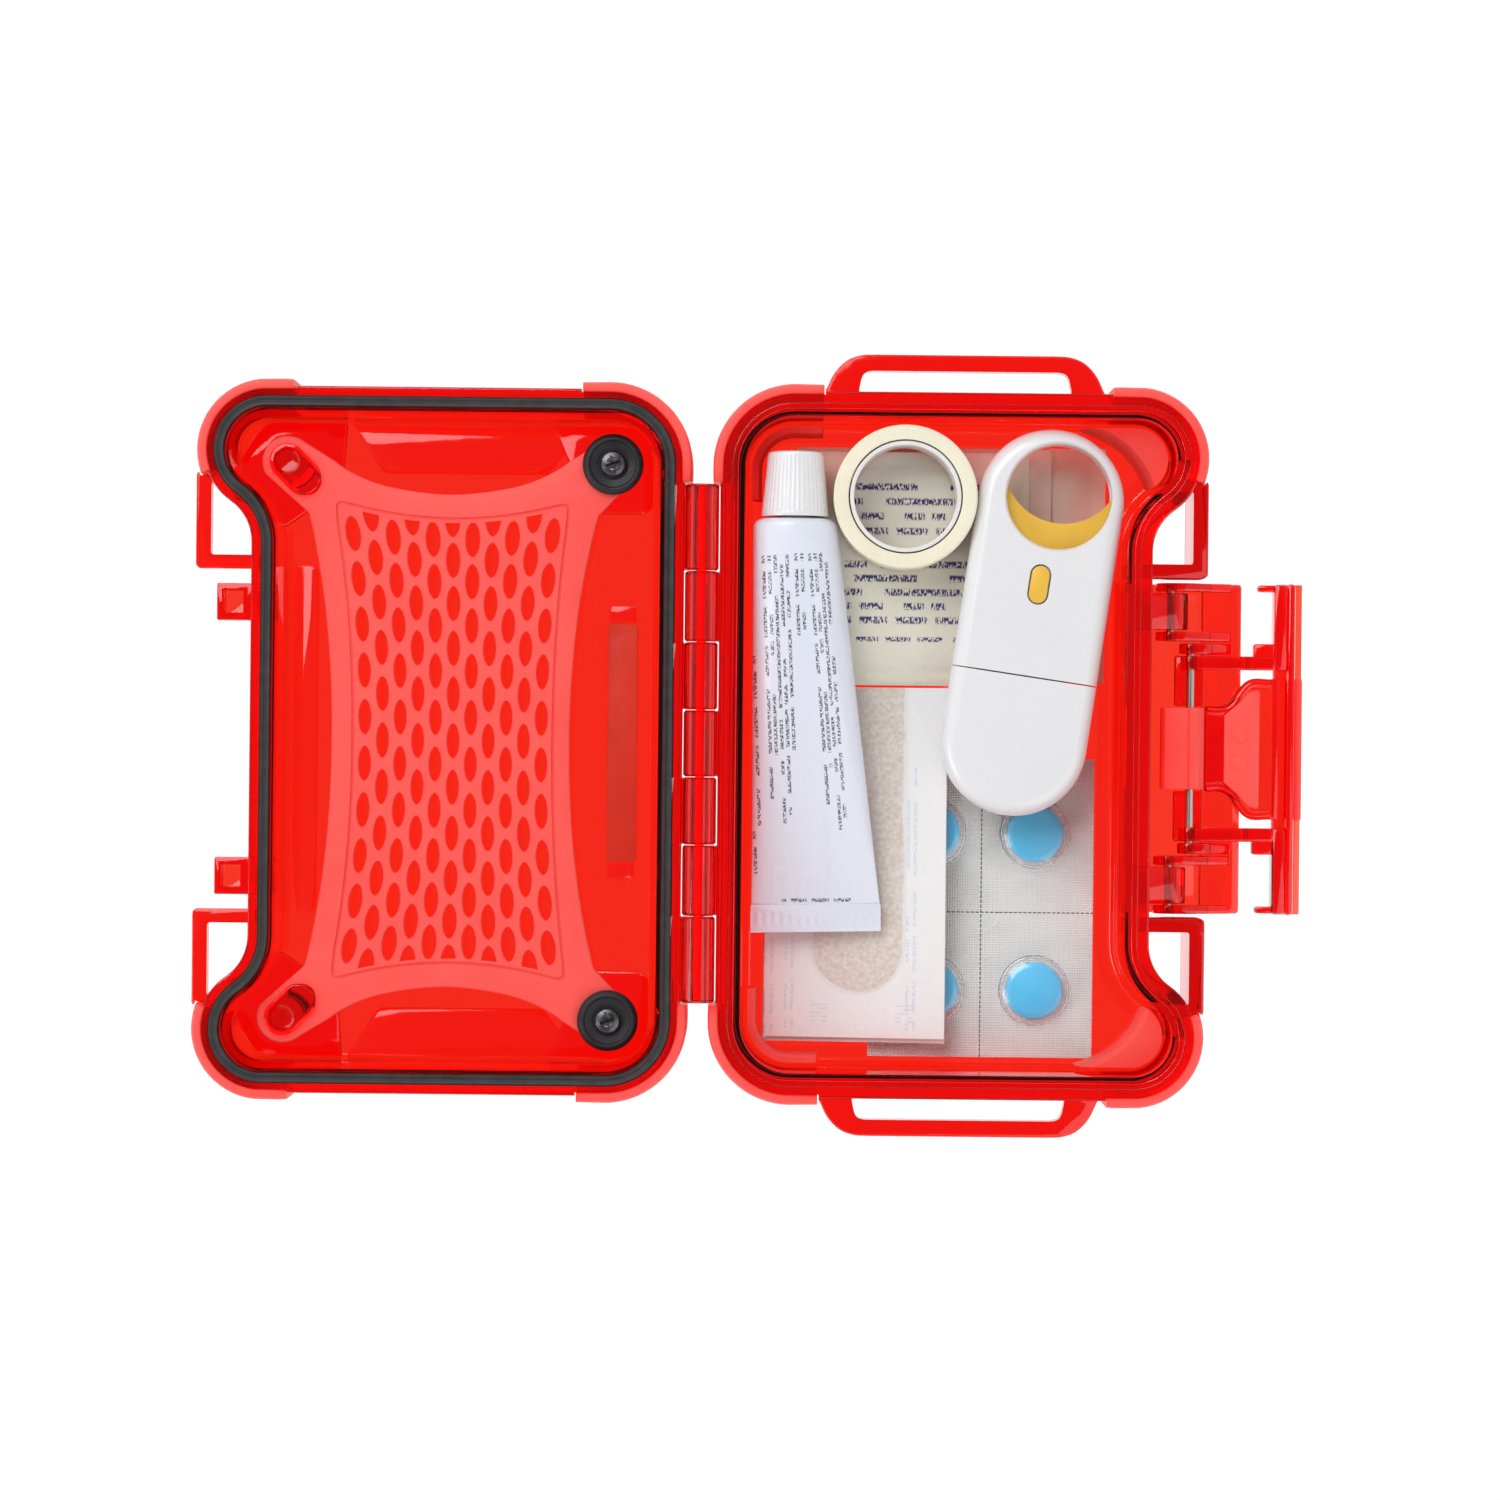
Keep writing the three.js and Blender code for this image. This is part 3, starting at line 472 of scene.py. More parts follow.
CORE = Surface("core_plastic", (0.75, 0.72, 0.70), 0.22).mottle(80, (0.66, 0.63, 0.62), 0.6).uneven(
    200, 0.08).grain(900, 0.00002).material
BANDAGE = Surface("bandage_strip", (0.60, 0.50, 0.42), 0.85).mottle(
    1500, (0.44, 0.33, 0.25), 0.75).mottle(160, (0.66, 0.57, 0.49), 0.6).uneven(500, 0.08).grain(
    2600, 0.00012).material
TABLET = Surface("tablet", (0.06, 0.42, 0.70), 0.36).mottle(60, (0.13, 0.52, 0.80), 0.7).uneven(
    200, 0.08).grain(1800, 0.00002).material
FILM = clear_film()


def paper(name, color, other):
    return Surface(name, color, 0.78, Specular_IOR_Level=0.3).mottle(40, other, 0.6).mottle(
        900, tuple(0.93 * c for c in color), 0.5).uneven(300, 0.08).grain(1500, 0.00004).grain(90, 0.0005)


def foil():
    """Embossed foil: a fine grid pressed into it, and the lines the blisters tear along."""
    made = Surface("blister_foil", (0.66, 0.66, 0.655), 0.42, Metallic=0.3)
    made.mottle(120, (0.54, 0.54, 0.54), 0.6).uneven(250, 0.1)
    x, y = made.axis("X"), made.axis("Y")
    for axis, pitch in ((x, 0.55), (y, 0.55)):
        wave = made.math("SINE", made.math("MULTIPLY", axis, 2 * math.pi / pitch))
        made.bump(wave, 0.00005, 0.8)
    return made


# ------------------------------------------------------------------ the case outline
HINGE_SIDE, LATCH_SIDE, LONG_SIDE, HINGE_CORNER, LOBE, NECK = 7, 93.8, 72.9, 13, 10.5, 14
LOBE_Y = LONG_SIDE - LOBE
CORNER = (HINGE_SIDE + HINGE_CORNER, LONG_SIDE - HINGE_CORNER)
NECK_U = LATCH_SIDE + NECK
NECK_Y = LOBE_Y - math.sqrt((NECK + LOBE) ** 2 - (NECK_U - LATCH_SIDE) ** 2)
NECK_TURN = math.degrees(math.atan2(LOBE_Y - NECK_Y, NECK_U - LATCH_SIDE))
STEPS = (12, 24, 18)
RIM, FLOOR = 20.85, 2.4
LABEL_Z = FLOOR + 0.3
LINK_PIN, CLAW_PIN, BARREL_R, PIN_R, BORE_R = (102.2, 7), (106.7, 7), 3.6, 1, 1.35


def half_outline(d):
    """The north half of the seal line, moved out by d, from the latch side round to the hinge side."""
    return [*arc(NECK_U, NECK_Y, NECK - d, 180, 180 - NECK_TURN, STEPS[0]),
            *arc(LATCH_SIDE, LOBE_Y, LOBE + d, -NECK_TURN, 90, STEPS[1])[1:],
            *arc(*CORNER, HINGE_CORNER + d, 90, 180, STEPS[2])]


def outline(d):
    half = half_outline(d)
    return half + mirrored(half)


def layers(profile, loop=False):
    """A profile of (offset, height) run round the case."""
    return loft([[(u, y, z) for u, y in outline(d)] for d, z in profile], loop=loop)


def band(outer, inner):
    """A closed strip between two profiles of (offset, height) round the case."""
    return layers(outer + inner[::-1], loop=True)


def stations(at_latch, extra=0.0):
    """Places along half_outline that a corner bumper runs over."""
    lobe, side = STEPS[0], STEPS[0] + STEPS[1]
    corner = side + 1
    length = LATCH_SIDE - CORNER[0]
    if at_latch:
        start = lobe + 1.65 * STEPS[1] / 7 - extra / 1.2
        end = side + (5.4 + extra) / length
    else:
        start = corner - (6 + extra) / length
        end = corner + STEPS[2] + (3.5 + extra) / (2 * CORNER[1])
    return start, end


def point_at(points, t):
    k = min(int(t), len(points) - 2)
    return Vector(points[k]).lerp(Vector(points[k + 1]), t - k)


def corner_sweep(profile, at_latch, side, extra=0.0, taper=0.0):
    """A profile of (offset, height) run round one corner; its ends shrink by taper."""
    start, end = stations(at_latch, extra)
    places = [start, *(k for k in range(len(half_outline(0))) if start + 0.2 < k < end - 0.2), end]
    if taper:
        places = [start, start + 0.25, *places[1:-1], end - 0.02, end]
    middle = Vector((sum(d for d, _ in profile), sum(z for _, z in profile))) / len(profile)
    paths = {}
    rings = []
    for k, t in enumerate(places):
        squeeze = taper if k in (0, len(places) - 1) else 0
        ring = []
        for point in profile:
            d, z = Vector(point) + (middle - Vector(point)).normalized() * squeeze
            if d not in paths:
                paths[d] = half_outline(d) + [(HINGE_SIDE - d, -CORNER[1])]
            u, y = point_at(paths[d], t)
            ring.append((u, side * y, z))
        rings.append(ring)
    return loft(rings)


# ------------------------------------------------------------------ the two shells
OUTSIDE = rounded([(-8, 0), (-2.4, 0, 1.4), (-0.9, 3.4, 3), (-0.2, 14.2, 0.7), (3.2, 15.6, 0.8),
                   (3.2, RIM, 0.5), (-1, RIM)], closed=False)
CAVITY = rounded([(-9, FLOOR), (-3.5, FLOOR, 1.2), (-3, 5, 2), (-2.15, 19.6), (-2.05, RIM), (-1.95, 23)],
                 closed=False)
BUMPER = [(0.3, 3, 0.4), (2.4, 1.2, 0.8), (4.1, 2, 0.8), (4.8, 4.5, 1), (4.8, 19, 0.8), (4.3, 20.3, 0.5),
          (2.55, 20.3, 0.4), (2.55, 15.1, 0.4), (0.5, 13.4, 0.4)]
BUMPER_ROOM = [(0, 2.8), (2.3, 0.8), (4.4, 1.6), (5.2, 4.4), (5.2, 21.4), (2.4, 21.4), (2.4, 15.35),
               (0, 13.9)]
KNUCKLES = (-55.8, -37.1, -21.8, -7.2, 7.2, 21.8, 37.1, 55.8)


def bumper_rooms():
    return [corner_sweep(BUMPER_ROOM, at_latch, side, 0.3) for at_latch in (True, False) for side in (1,
                                                                                                      -1)]


def hinge_barrels(first):
    """The knuckles of one half, each with the leaf that carries it."""
    made = []
    for k in range(first, 7, 2):
        y0, y1 = KNUCKLES[k] + 0.15, KNUCKLES[k + 1] - 0.15
        barrel = rod_y(0, HINGE.z, y0 - 0.08, y1 + 0.08, BARREL_R, 44, 0.45)
        made.append(cut(barrel, rod_y(0, HINGE.z, y0 - 1, y1 + 1, BORE_R, 24)))
        leaf = [(0.9, 17.6), (4.6, 16.6), (6.2, 18.4), (6.2, 20.4), (0.9, 20.4)]
        made.append(side_plate(leaf, y0, y1, 0.3))
    return made


def hasp_loop(side, z0, z1):
    frame_ = rounded([(95, 36.6), (109, 36.6, 1.2), (109, 57), (104, 63), (95, 58)])
    hole = rounded([(91, 39.6), (105.7, 39.6, 0.7), (105.7, 55.4, 0.9), (91, 55.4)])
    return plate(on_side(frame_, side), z0, z1, 0.45), plate(on_side(hole, side), z0 - 1, z1 + 1)


def carry_loop(side):
    def both_ends(end):
        return end + [(112.6 - u, y) for u, y in end[::-1]]

    frame_ = both_ends([(86.7, 74), *spline([(86.4, 76.2), (84.5, 80.1), (81.9, 82.8), (78.8, 84),
                                             (75.6, 84.2)])])
    hole = both_ends([(79.4, 70), *spline([(79.1, 76.8), (78.5, 79.3), (77.6, 80.3), (76.2, 80.6)], 4)])
    return plate(on_side(frame_, side), 16, 20, 0.7, 3), plate(on_side(hole, side), 15, 21)


def latch_ears():
    """The two forks on the latch side that carry the link, each with a round boss."""
    made = []
    shape = rounded([(92, 1.2), (99.5, 1.2, 1), *arc(*LINK_PIN, 3.8, -70, 90, 12), (96.5, 13, 1), (92, 13)])
    for side in (1, -1):
        y0, y1 = sorted((side * 25.8, side * 33.8))
        made.append(side_plate(shape, y0, y1, 0.35))
    return made


def base_shell():
    body = layers(OUTSIDE)
    holes = []
    for side in (1, -1):
        for frame_, hole in (hasp_loop(side, 1, 20.2), carry_loop(side)):
            body = join(body, frame_)
            holes.append(hole)
    body = join(body, *latch_ears(), block((90, -36, 0), (110.3, 36, 1.7), 0.4))
    # one solid again where the loops' holes come near the wall
    body = join(cut(body, *holes), layers(OUTSIDE))
    body = cut(body, layers(CAVITY), *bumper_rooms(), rod_y(*LINK_PIN, -34.5, 34.5, BORE_R, 24))
    body = join(body, floor_border(4.6, 0.35))
    tongue = rounded([(0.8, RIM - 0.6), (0.72, RIM + 0.6, 0.3), (-0.72, RIM + 0.6, 0.3), (-0.8, RIM - 0.6)],
                     False)
    half = len(tongue) // 2
    body = join(body, band(tongue[:half], tongue[half:][::-1]), *hinge_barrels(1))
    return body


def floor_border(inset, height):
    """A low step moulded round the floor."""
    return band([(-inset, FLOOR - 0.8), (-inset - 0.1, FLOOR + height)],
                [(-inset - 2.2, FLOOR - 0.8), (-inset - 2.1, FLOOR + height)])


def lid_panels():
    """Raised shapes moulded into the lid's floor, seen round and through the web."""
    end = rounded([(34, 58.5, 2), (70, 58.5, 2), (77, 69.2), (26, 69.2)])
    long = rounded([(14.5, -30, 1.2), (20.3, -30, 1.2), (20.3, 30, 1.2), (14.5, 30, 1.2)])
    back = rounded([(84, -38, 2), (89.6, -38), (89.6, 38), (84, 38, 2)])
    corner = rounded([(79, 55, 6), (95, 44, 4), (102, 60, 6), (96, 69.3, 5), (78, 69.3)])
    hinge_corner = rounded([(11, 50, 3), (25, 50, 5), (33, 69.3), (11, 69.3, 8)])
    made = [plate(long, FLOOR - 1, FLOOR + 0.9, 0.3), plate(back, FLOOR - 1, FLOOR + 0.6, 0.3)]
    for points, z in ((end, 1.0), (corner, 3.0), (hinge_corner, 2.2)):
        for side in (1, -1):
            made.append(plate(on_side(points, side), FLOOR - 1, FLOOR + z, 0.5))
    return [combine(piece, "INTERSECT", [layers([(-2.2, 0.6), (-2.4, 12)])]) for piece in made]


def lid_shell():
    body = layers(OUTSIDE)
    holes = []
    for side in (1, -1):
        frame_, hole = hasp_loop(side, 16.6, 20.2)
        body = join(body, frame_)
        holes.append(hole)
        y0, y1 = sorted((side * 25.5, side * 33.5))
        lug = cut(block((94, y0, 13.85), (104.3, y1, 20.45), 0.3),
                  block((98.6, y0 + 1.6, 15.6), (102.8, y1 - 1.6, 22), 0.2))
        body = join(body, lug)
    body = join(cut(body, *holes), layers(OUTSIDE))
    body = cut(body, layers(CAVITY), *bumper_rooms())
    body = join(body, *lid_panels())
    for side in (1, -1):
        body = join(body, rod_z(19.5, side * 60.2, 1.5, 11.7, 4))
        body = cut(body, rod_z(19.5, side * 60.2, 4, 13, 1.8, 24))
        body = cut(body, rod_z(90, side * 60.2, LABEL_Z, 13, 5.4, 40))
    body = cut(body, block((14, -26.4, FLOOR + 0.25), (20.6, 26.4, FLOOR + 3)))
    groove = band([(1.5, RIM - 2.4), (1.5, 23)], [(-1.5, RIM - 2.4), (-1.5, 23)])
    return join(cut(body, groove), *hinge_barrels(0))


mesh_piece("base_shell_fine", base_shell(), BASE, CLEAR_RED, "base",
           ("base_shell", "latch_shelf"), 28)
fine("lid_shell", lid_shell(), LID, CLEAR_RED, "lid", 28)


# ------------------------------------------------------------------ soft corners, gasket and hinge pin
for half, place, flip in (("base", BASE, 1), ("lid", LID, -1)):
    for where, side in (("north", flip), ("south", -flip)):
        for end, at_latch in (("latch", True), ("hinge", False)):
            name = f"{half}_bumper_{end}_{where}"
            skin = corner_sweep(rounded(BUMPER, steps=3), at_latch, side, taper=0.35)
            fine(name, skin, place, CORAL, half, 40)


def corner_pad(at_latch, side):
    """A soft pad in a bottom corner, hollowed where the contents lie."""
    room = layers(rounded([(-5, 3.2), (-4.1, 5, 1), (-3.7, 9), (-3.5, 14)], False))
    if at_latch:
        y0, y1 = sorted((side * 53.4, side * 80))
        body = combine(room, "INTERSECT", [block((82, y0, 0), (110, y1, 12.8), 0.8)])
        bowl = lathe([(0, -1), (18.4, -1), (18.6, 8), (19.3, 12), (20.6, 13.6), (0, 13.6)],
                     (79, side * 50.6, 0), 72)
        return cut(body, bowl)
    y0, y1 = sorted((side * 53, side * 80))
    body = combine(room, "INTERSECT", [block((0, y0, 0), (26, y1, 9.5), 0.8)])
    inside = layers(rounded([(-6, 0), (-5.6, 6), (-5.2, 9.3, 0.5), (-4.6, 10.2)], False))
    return cut(body, inside)


for where, side in (("north", 1), ("south", -1)):
    for end, at_latch in (("latch", True), ("hinge", False)):
        name = f"corner_pad_{end}_{where}"
        fine(name, corner_pad(at_latch, side), BASE, CORAL, "base", 40)

seal = rounded([(1.25, RIM - 2.1, 0.2), (1.25, RIM - 0.9, 0.35), (0.95, RIM - 0.45, 0.3),
                (0.45, RIM - 0.55, 0.3),
                (0, RIM - 0.95, 0.3), (-0.45, RIM - 0.55, 0.3), (-0.95, RIM - 0.45, 0.3),
                (-1.25, RIM - 0.9, 0.35), (-1.25, RIM - 2.1, 0.2)])
fine("lid_gasket", layers(seal, loop=True), LID, GASKET, "lid", 50)
fine("hinge_pin", rod_y(0, HINGE.z, -55.2, 55.2, PIN_R, 24, 0.2), BASE, HINGE_STEEL, "base")


# ------------------------------------------------------------------ the lid's web and its fixings
ARM_LATCH, ARM_HINGE, ARM_Y, WEB_Z, WEB_TOP = 90, 19.5, 60.2, 12, 14
COLUMNS, PITCH = 11, 10.1
ARM_SLOT = 4.2


def web_edge(middle, spread, y):
    return middle + spread * (abs(y) / ARM_Y) ** 2.2


def web_outline():
    def arm(u, start, end):
        return arc(u, ARM_Y, 5.6, start, end, 20)

    top = spline([(82.5, 62.6), (76.5, 58.2), (68, 55), (54.75, 53.4), (41.5, 55), (32.5, 58.4),
                  (26, 63.2)], 8)[4:-4]
    ys = [-49 + 98 * i / 40 for i in range(41)]
    latch = [(web_edge(80, 8.4, y), y) for y in ys]
    hinge = [(web_edge(28.3, -9, y), -y) for y in ys]
    north = [*arm(ARM_LATCH, -30, 130), *top, *arm(ARM_HINGE, 50, 210)]
    return [*latch, *north, *hinge, *mirrored(north)]


def field_outline(grow):
    """The border of the perforated field, grown by a little."""
    ys = [-46 + 92 * i / 30 for i in range(31)]
    latch = [(web_edge(75.3, 6.4, y) + grow, y) for y in ys]
    hinge = [(web_edge(32, -4.6, y) - grow, y) for y in ys]
    high, low = latch[-1][0] - grow, hinge[-1][0] + grow
    north = rounded([latch[-1], (high + 0.5 + grow, border(high) + grow, 3),
                     (high - 3.5, border(high - 3.5) + grow)],
                    False, 6)[1:]
    north += [(u, border(u) + grow) for u in (high - 5 - (high - low - 10) * i / 20 for i in range(21))]
    north += rounded([(low + 3.5, border(low + 3.5) + grow), (low - 0.5 - grow, border(low) + grow, 3),
                      hinge[-1]],
                     False, 6)[:-1]
    return [*latch, *north, *[(u, -y) for u, y in hinge], *mirrored(north)]


def column(k, y):
    """The middle of a column of holes, which spread towards the web's ends."""
    latch, hinge = web_edge(74.6, 6.2, y), web_edge(32.6, -4.4, y)
    return hinge + (latch - hinge) * (k + 0.5) / COLUMNS


def border(u):
    """How far the perforated field reaches along the hinge, at u."""
    return 48.1 + 2.9 * ((u - 54) / 22) ** 2


def web_hole(k, y):
    """A lens-shaped hole that leans with its column, cut flat where it meets the field's border."""
    away = 1 - min(1, ((column(k, y) - 54) / 22) ** 2)
    y *= (1 - 0.02 * (y / 50) ** 2) * (1 - 0.03 * away * (y / 50) ** 2)
    wide, high = 1.3 + 0.3 * (y / 50) ** 2, 3.72
    rings = []
    for z, grow in ((11, 0), (13.55, 0), (13.85, 0.08), (14.1, 0.3)):
        ring = []
        for i in range(24):
            a = 2 * math.pi * i / 24
            x = (wide + grow) * math.copysign(abs(math.cos(a)) ** 1.08, math.cos(a))
            py = y + (high + grow) * math.sin(a)
            u = column(k, py) + x
            end = border(u) - 0.9
            ring.append((u, max(-end, min(end, py)), z))
        rings.append(ring)
    return loft(rings)


def lid_web():
    body = plate(web_outline(), WEB_Z, WEB_TOP, 0.45, 3)
    holes = []
    for k in range(COLUMNS):
        rows = [5.05 + PITCH * i for i in range(-5, 5)] if k % 2 == 0 else [PITCH * i for i in range(-5, 6)]
        holes += [web_hole(k, y) for y in rows]
    groove = cut(plate(field_outline(0.32), WEB_TOP - 0.4, WEB_TOP + 1),
                 plate(field_outline(-0.32), 10, 16))
    dips = []
    for side in (1, -1):
        # an oblong slot for the post, and a round hole for the screw
        dips.append(plate(arm_slot(side, ARM_SLOT, 3.1), 10, 16))
        dips.append(rod_z(ARM_HINGE, side * ARM_Y, 10, 16, 1.9, 24))
    return cut(body, merged(*holes), groove, *dips)


def arm_slot(side, reach, r):
    """The oblong at a latch-side arm's end, run inwards by reach."""
    return oval(ARM_LATCH, side * ARM_Y, ARM_LATCH - reach, side * (ARM_Y - reach), r)


def oval(x0, y0, x1, y1, r):
    """A round-ended slot from one centre to the other."""
    turn = math.degrees(math.atan2(y1 - y0, x1 - x0))
    return [*arc(x1, y1, r, turn - 90, turn + 90, 14), *arc(x0, y0, r, turn + 90, turn + 270, 14)]


fine("lid_web", lid_web(), LID, CORAL, "lid", 35)

for where, side in (("north", -1), ("south", 1)):
    y = side * ARM_Y
    # the post fills the arm's slot: an oblong foot and head round a turned core
    foot, head = arm_slot(side, ARM_SLOT, 2.6), arm_slot(side, 3.4, 3.9)
    post = join(lathe([(0, 2.9), (5, 2.9), (4.3, 11.4), (4.1, 11.7), (0, 11.7)], (ARM_LATCH, y, 0)),
                plate(foot, 11, 14.6), plate(head, 14.3, 15.3, 0.4, 3),
                lathe([(0, 14.6), (2.9, 14.6), (2.8, 15.7), (2.3, 16), (1.2, 15.8), (0, 15.7)],
                      (ARM_LATCH, y, 0)))
    fine(f"web_post_{where}", post, LID, CLEAR_RED, "lid", 30)
    ring = rounded([(1.9, 14.3), (6.6, 14.3, 0.3), (6.6, 15.2, 0.5), (5.7, 16.1, 0.5), (5.2, 16.05, 0.3),
                    (4.9, 15.6, 0.3),
                    (3.4, 15.4, 0.3), (3.2, 15.3, 0.2), (1.9, 15.3)])
    fine(f"web_washer_{where}", lathe(ring, (ARM_HINGE, y, 0), 64, closed=True), LID, WASHER, "lid", 35)
    screw = lathe([(0, 4.6), (1.4, 4.6), (1.4, 15.6), (2.85, 15.7), (2.9, 16.2), (2.5, 16.8), (1.6, 17.15),
                   (0, 17.2)],
                  (ARM_HINGE, y, 0), 40)
    cross = []
    for turn in (20, 110):
        arm_ = block((-1.65, -0.32, 16.1), (1.65, 0.32, 18), 0)
        arm_.transform(Matrix.Translation((ARM_HINGE, y, 0)) @ Matrix.Rotation(math.radians(turn), 4, "Z"))
        cross.append(arm_)
    fine(f"web_screw_{where}", cut(screw, *cross), LID, DARK_STEEL, "lid", 30)

mesh_piece("lid_label_fine", plate(rounded([(14, -26, 0.8), (20.5, -26, 0.8), (20.5, 26, 0.8),
                                            (14, 26, 0.8)]),
                                   LABEL_Z, LABEL_Z + 0.5, 0.12), LID, LABEL, "lid", "lid_label_plate")


# ------------------------------------------------------------------ the latch
def latch_link():
    body = join(block((109.3, -36, 2), (118, 36, 4.5), 0.7), block((103.5, 9.3, 2), (111, 20.3, 4.2), 0.5),
                block((103.5, -20.3, 2), (111, -9.3, 4.2), 0.5))
    bores = []
    for side in (1, -1):
        for inner, outer, (pin_u, pin_z), r in ((20.6, 22.9, CLAW_PIN, 2.6), (23.4, 25.4, LINK_PIN, 3.3),
                                                (34.2, 36, LINK_PIN, 3.3)):
            y0, y1 = sorted((side * inner, side * outer))
            cheek = rounded([(116, 2.2), (116, 5.9, 1.4), (pin_u + 3, pin_z + r, 1.5),
                             *arc(pin_u, pin_z, r, 90, 260, 20), (108.3, 2.2)])
            body = join(body, side_plate(cheek, y0, y1, 0.35))
            bores.append(rod_y(pin_u, pin_z, y0 - 1, y1 + 1, BORE_R, 24))
    return cut(body, *bores)


PANEL_SIDE = [(126, 15.4), (119.6, 15), (117.2, 12.9), (115.2, 10.2), (113, 9.3), (110, 9.2)]


def latch_claw():
    body = join(block((125, -36.1, 2), (129.4, 36.1, 5.2), 0.7),
                block((127.4, -36.1, 2), (129.4, 36.1, 8.4), 0.8),
                block((128, -36.1, 2), (131.4, 36.1, 2.8), 0.25),
                plate([*spline(PANEL_SIDE, 8), *mirrored(spline(PANEL_SIDE, 8))], 4.9, 7.4, 0.4))
    for side in (1, -1):
        def span(a, b):
            return sorted((side * a, side * b))

        arm = rounded([(126, 3.4), (126, 9, 0.4), (124.6, 10, 1), *arc(*CLAW_PIN, 2.3, 90, 246, 16),
                       (118.6, 4.9, 1), (120, 3.4)])
        y0, y1 = span(17.2, 20.2)
        h0, h1 = span(17.2, 35.8)
        l0, l1 = span(34.3, 35.8)
        k0, k1 = span(17.2, 23)
        body = join(body, side_plate(arm, y0, y1, 0.45), block((124.6, h0, 3.4), (127.4, h1, 10.1), 0.6),
                    block((121.2, l0, 3.4), (127, l1, 8), 0.5), block((120.4, k0, 3.4), (127, k1, 8), 0.5),
                    claw_rail(side))
        body = cut(body, rod_y(*CLAW_PIN, y0 - 1, y1 + 1, BORE_R, 24))
    pocket = rounded([(113.8, -7.6, 0.5), (116.6, -10, 2), (118.9, -12.6, 2), (122, -13.2, 0.6),
                      (122, 13.2, 0.6), (118.9, 12.6, 2), (116.6, 10, 2), (113.8, 7.6, 0.5)])
    return cut(body, plate(pocket, 6.2, 12))


def claw_rail(side):
    """The rounded S-shaped bead beside the grip."""
    path = spline([(110, 8.3), (113.4, 8.1), (116.2, 9.4), (118, 12.2), (120.2, 14.2), (124.6, 14.1)], 10)
    rings = []
    for i, p in enumerate(path):
        ahead = Vector(path[min(i + 1, len(path) - 1)]) - Vector(path[max(i - 1, 0)])
        across = Vector((-ahead.y, ahead.x)).normalized()
        reach = 1.15 if 0 < i < len(path) - 1 else 0.5
        rings.append([(p[0] + across.x * reach * math.cos(a),
                       side * (p[1] + across.y * reach * math.cos(a)),
                       7.2 + reach * math.sin(a)) for a in (2 * math.pi * k / 14 for k in range(14))])
    return loft(rings)


def latch_grip():
    inset = rounded([(114.1, -7.3, 0.5), (116.9, -9.7, 2), (119.2, -12.3, 2), (121.7, -12.9, 0.6),
                     (121.7, 12.9, 0.6), (119.2, 12.3, 2), (116.9, 9.7, 2), (114.1, 7.3, 0.5)])
    body = plate(inset, 6.5, 7.9, 0.35)
    for y in (-3.1, 3.1):
        body = join(body, lathe([(0, 7.4), (1.7, 7.4), (1.65, 8.05), (1.4, 8.15), (0, 8.15)], (117.4, y, 0),
                                28))
    return body


def latch_pad():
    side = rounded([(109.6, 4.9), (109.6, 8.6, 0.6), (108.2, 9.8, 0.6), (106.4, 9.8, 0.3), (106, 9.35, 0.3),
                    (101, 9.35, 0.5), (100.3, 8.6, 0.4), (100.3, 5.4, 0.3), (100.9, 4.9)])
    return cut(side_plate(side, -8.9, 8.9, 0.3), rod_y(*CLAW_PIN, -10, 10, BORE_R, 24))


fine("latch_link", latch_link(), BASE, CLEAR_RED, "latch_link", 30)
fine("latch_claw", latch_claw(), BASE, CLEAR_RED, "latch_claw", 30)
fine("latch_grip", latch_grip(), BASE, CORAL, "latch_claw", 35)
fine("latch_thumb_bar", block((129.7, -15.5, 3.1), (131.4, 15.5, 4.8), 0.5), BASE, CORAL, "latch_claw",
     35)
fine("latch_pad", latch_pad(), BASE, CORAL, "latch_claw", 35)
for where, y0, y1 in (("north", 23.6, 35.8), ("south", -35.8, -23.6)):
    fine(f"latch_link_pin_{where}", rod_y(*LINK_PIN, y0, y1, PIN_R, 24, 0.2), BASE, STEEL, "latch_link")
fine("latch_claw_pin", rod_y(*CLAW_PIN, -22.7, 22.7, PIN_R, 24, 0.2), BASE, STEEL, "latch_link")


# ------------------------------------------------------------------ the blister pack
CARD_LOW, CARD_HIGH = (37, -68.1), (86.3, -2.5)
CARD_MIDDLE = (61.7, -36.3)
DOME_SPOTS = [(u, y) for u in (50.5, 73.4) for y in (-53.3, -18.9)]


def serrated(low, high, pitch=0.8, depth=0.22):
    """A rectangle with finely toothed edges."""
    corners = [low, (high[0], low[1]), high, (low[0], high[1])]
    points = []
    for a, b in zip(corners, corners[1:] + corners[:1]):
        a, b = Vector(a), Vector(b)
        inward = Vector((a.y - b.y, b.x - a.x)).normalized() * depth
        count = int((b - a).length / pitch)
        for i in range(count):
            points.append(tuple(a.lerp(b, i / count)))
            points.append(tuple(a.lerp(b, (i + 0.5) / count) + inward))
    return points


def blister_foil():
    made = foil()
    x, y = made.axis("X"), made.axis("Y")
    for along, across, middle in ((y, x, CARD_MIDDLE[0] + HINGE.x), (x, y, CARD_MIDDLE[1])):
        line = made.band(across, middle - 0.13, middle + 0.13, 0.05)
        dash = made.math("GREATER_THAN", made.math("FRACT", made.math("DIVIDE", along, 1.05)), 0.3)
        made.mix(made.math("MULTIPLY", line, dash), (0.03, 0.03, 0.03))
    return made.material


foil_sheet = plate(serrated(CARD_LOW, CARD_HIGH), 2.7, 2.9)
fine("blister_foil", foil_sheet, BASE, blister_foil(), "blister_pack")


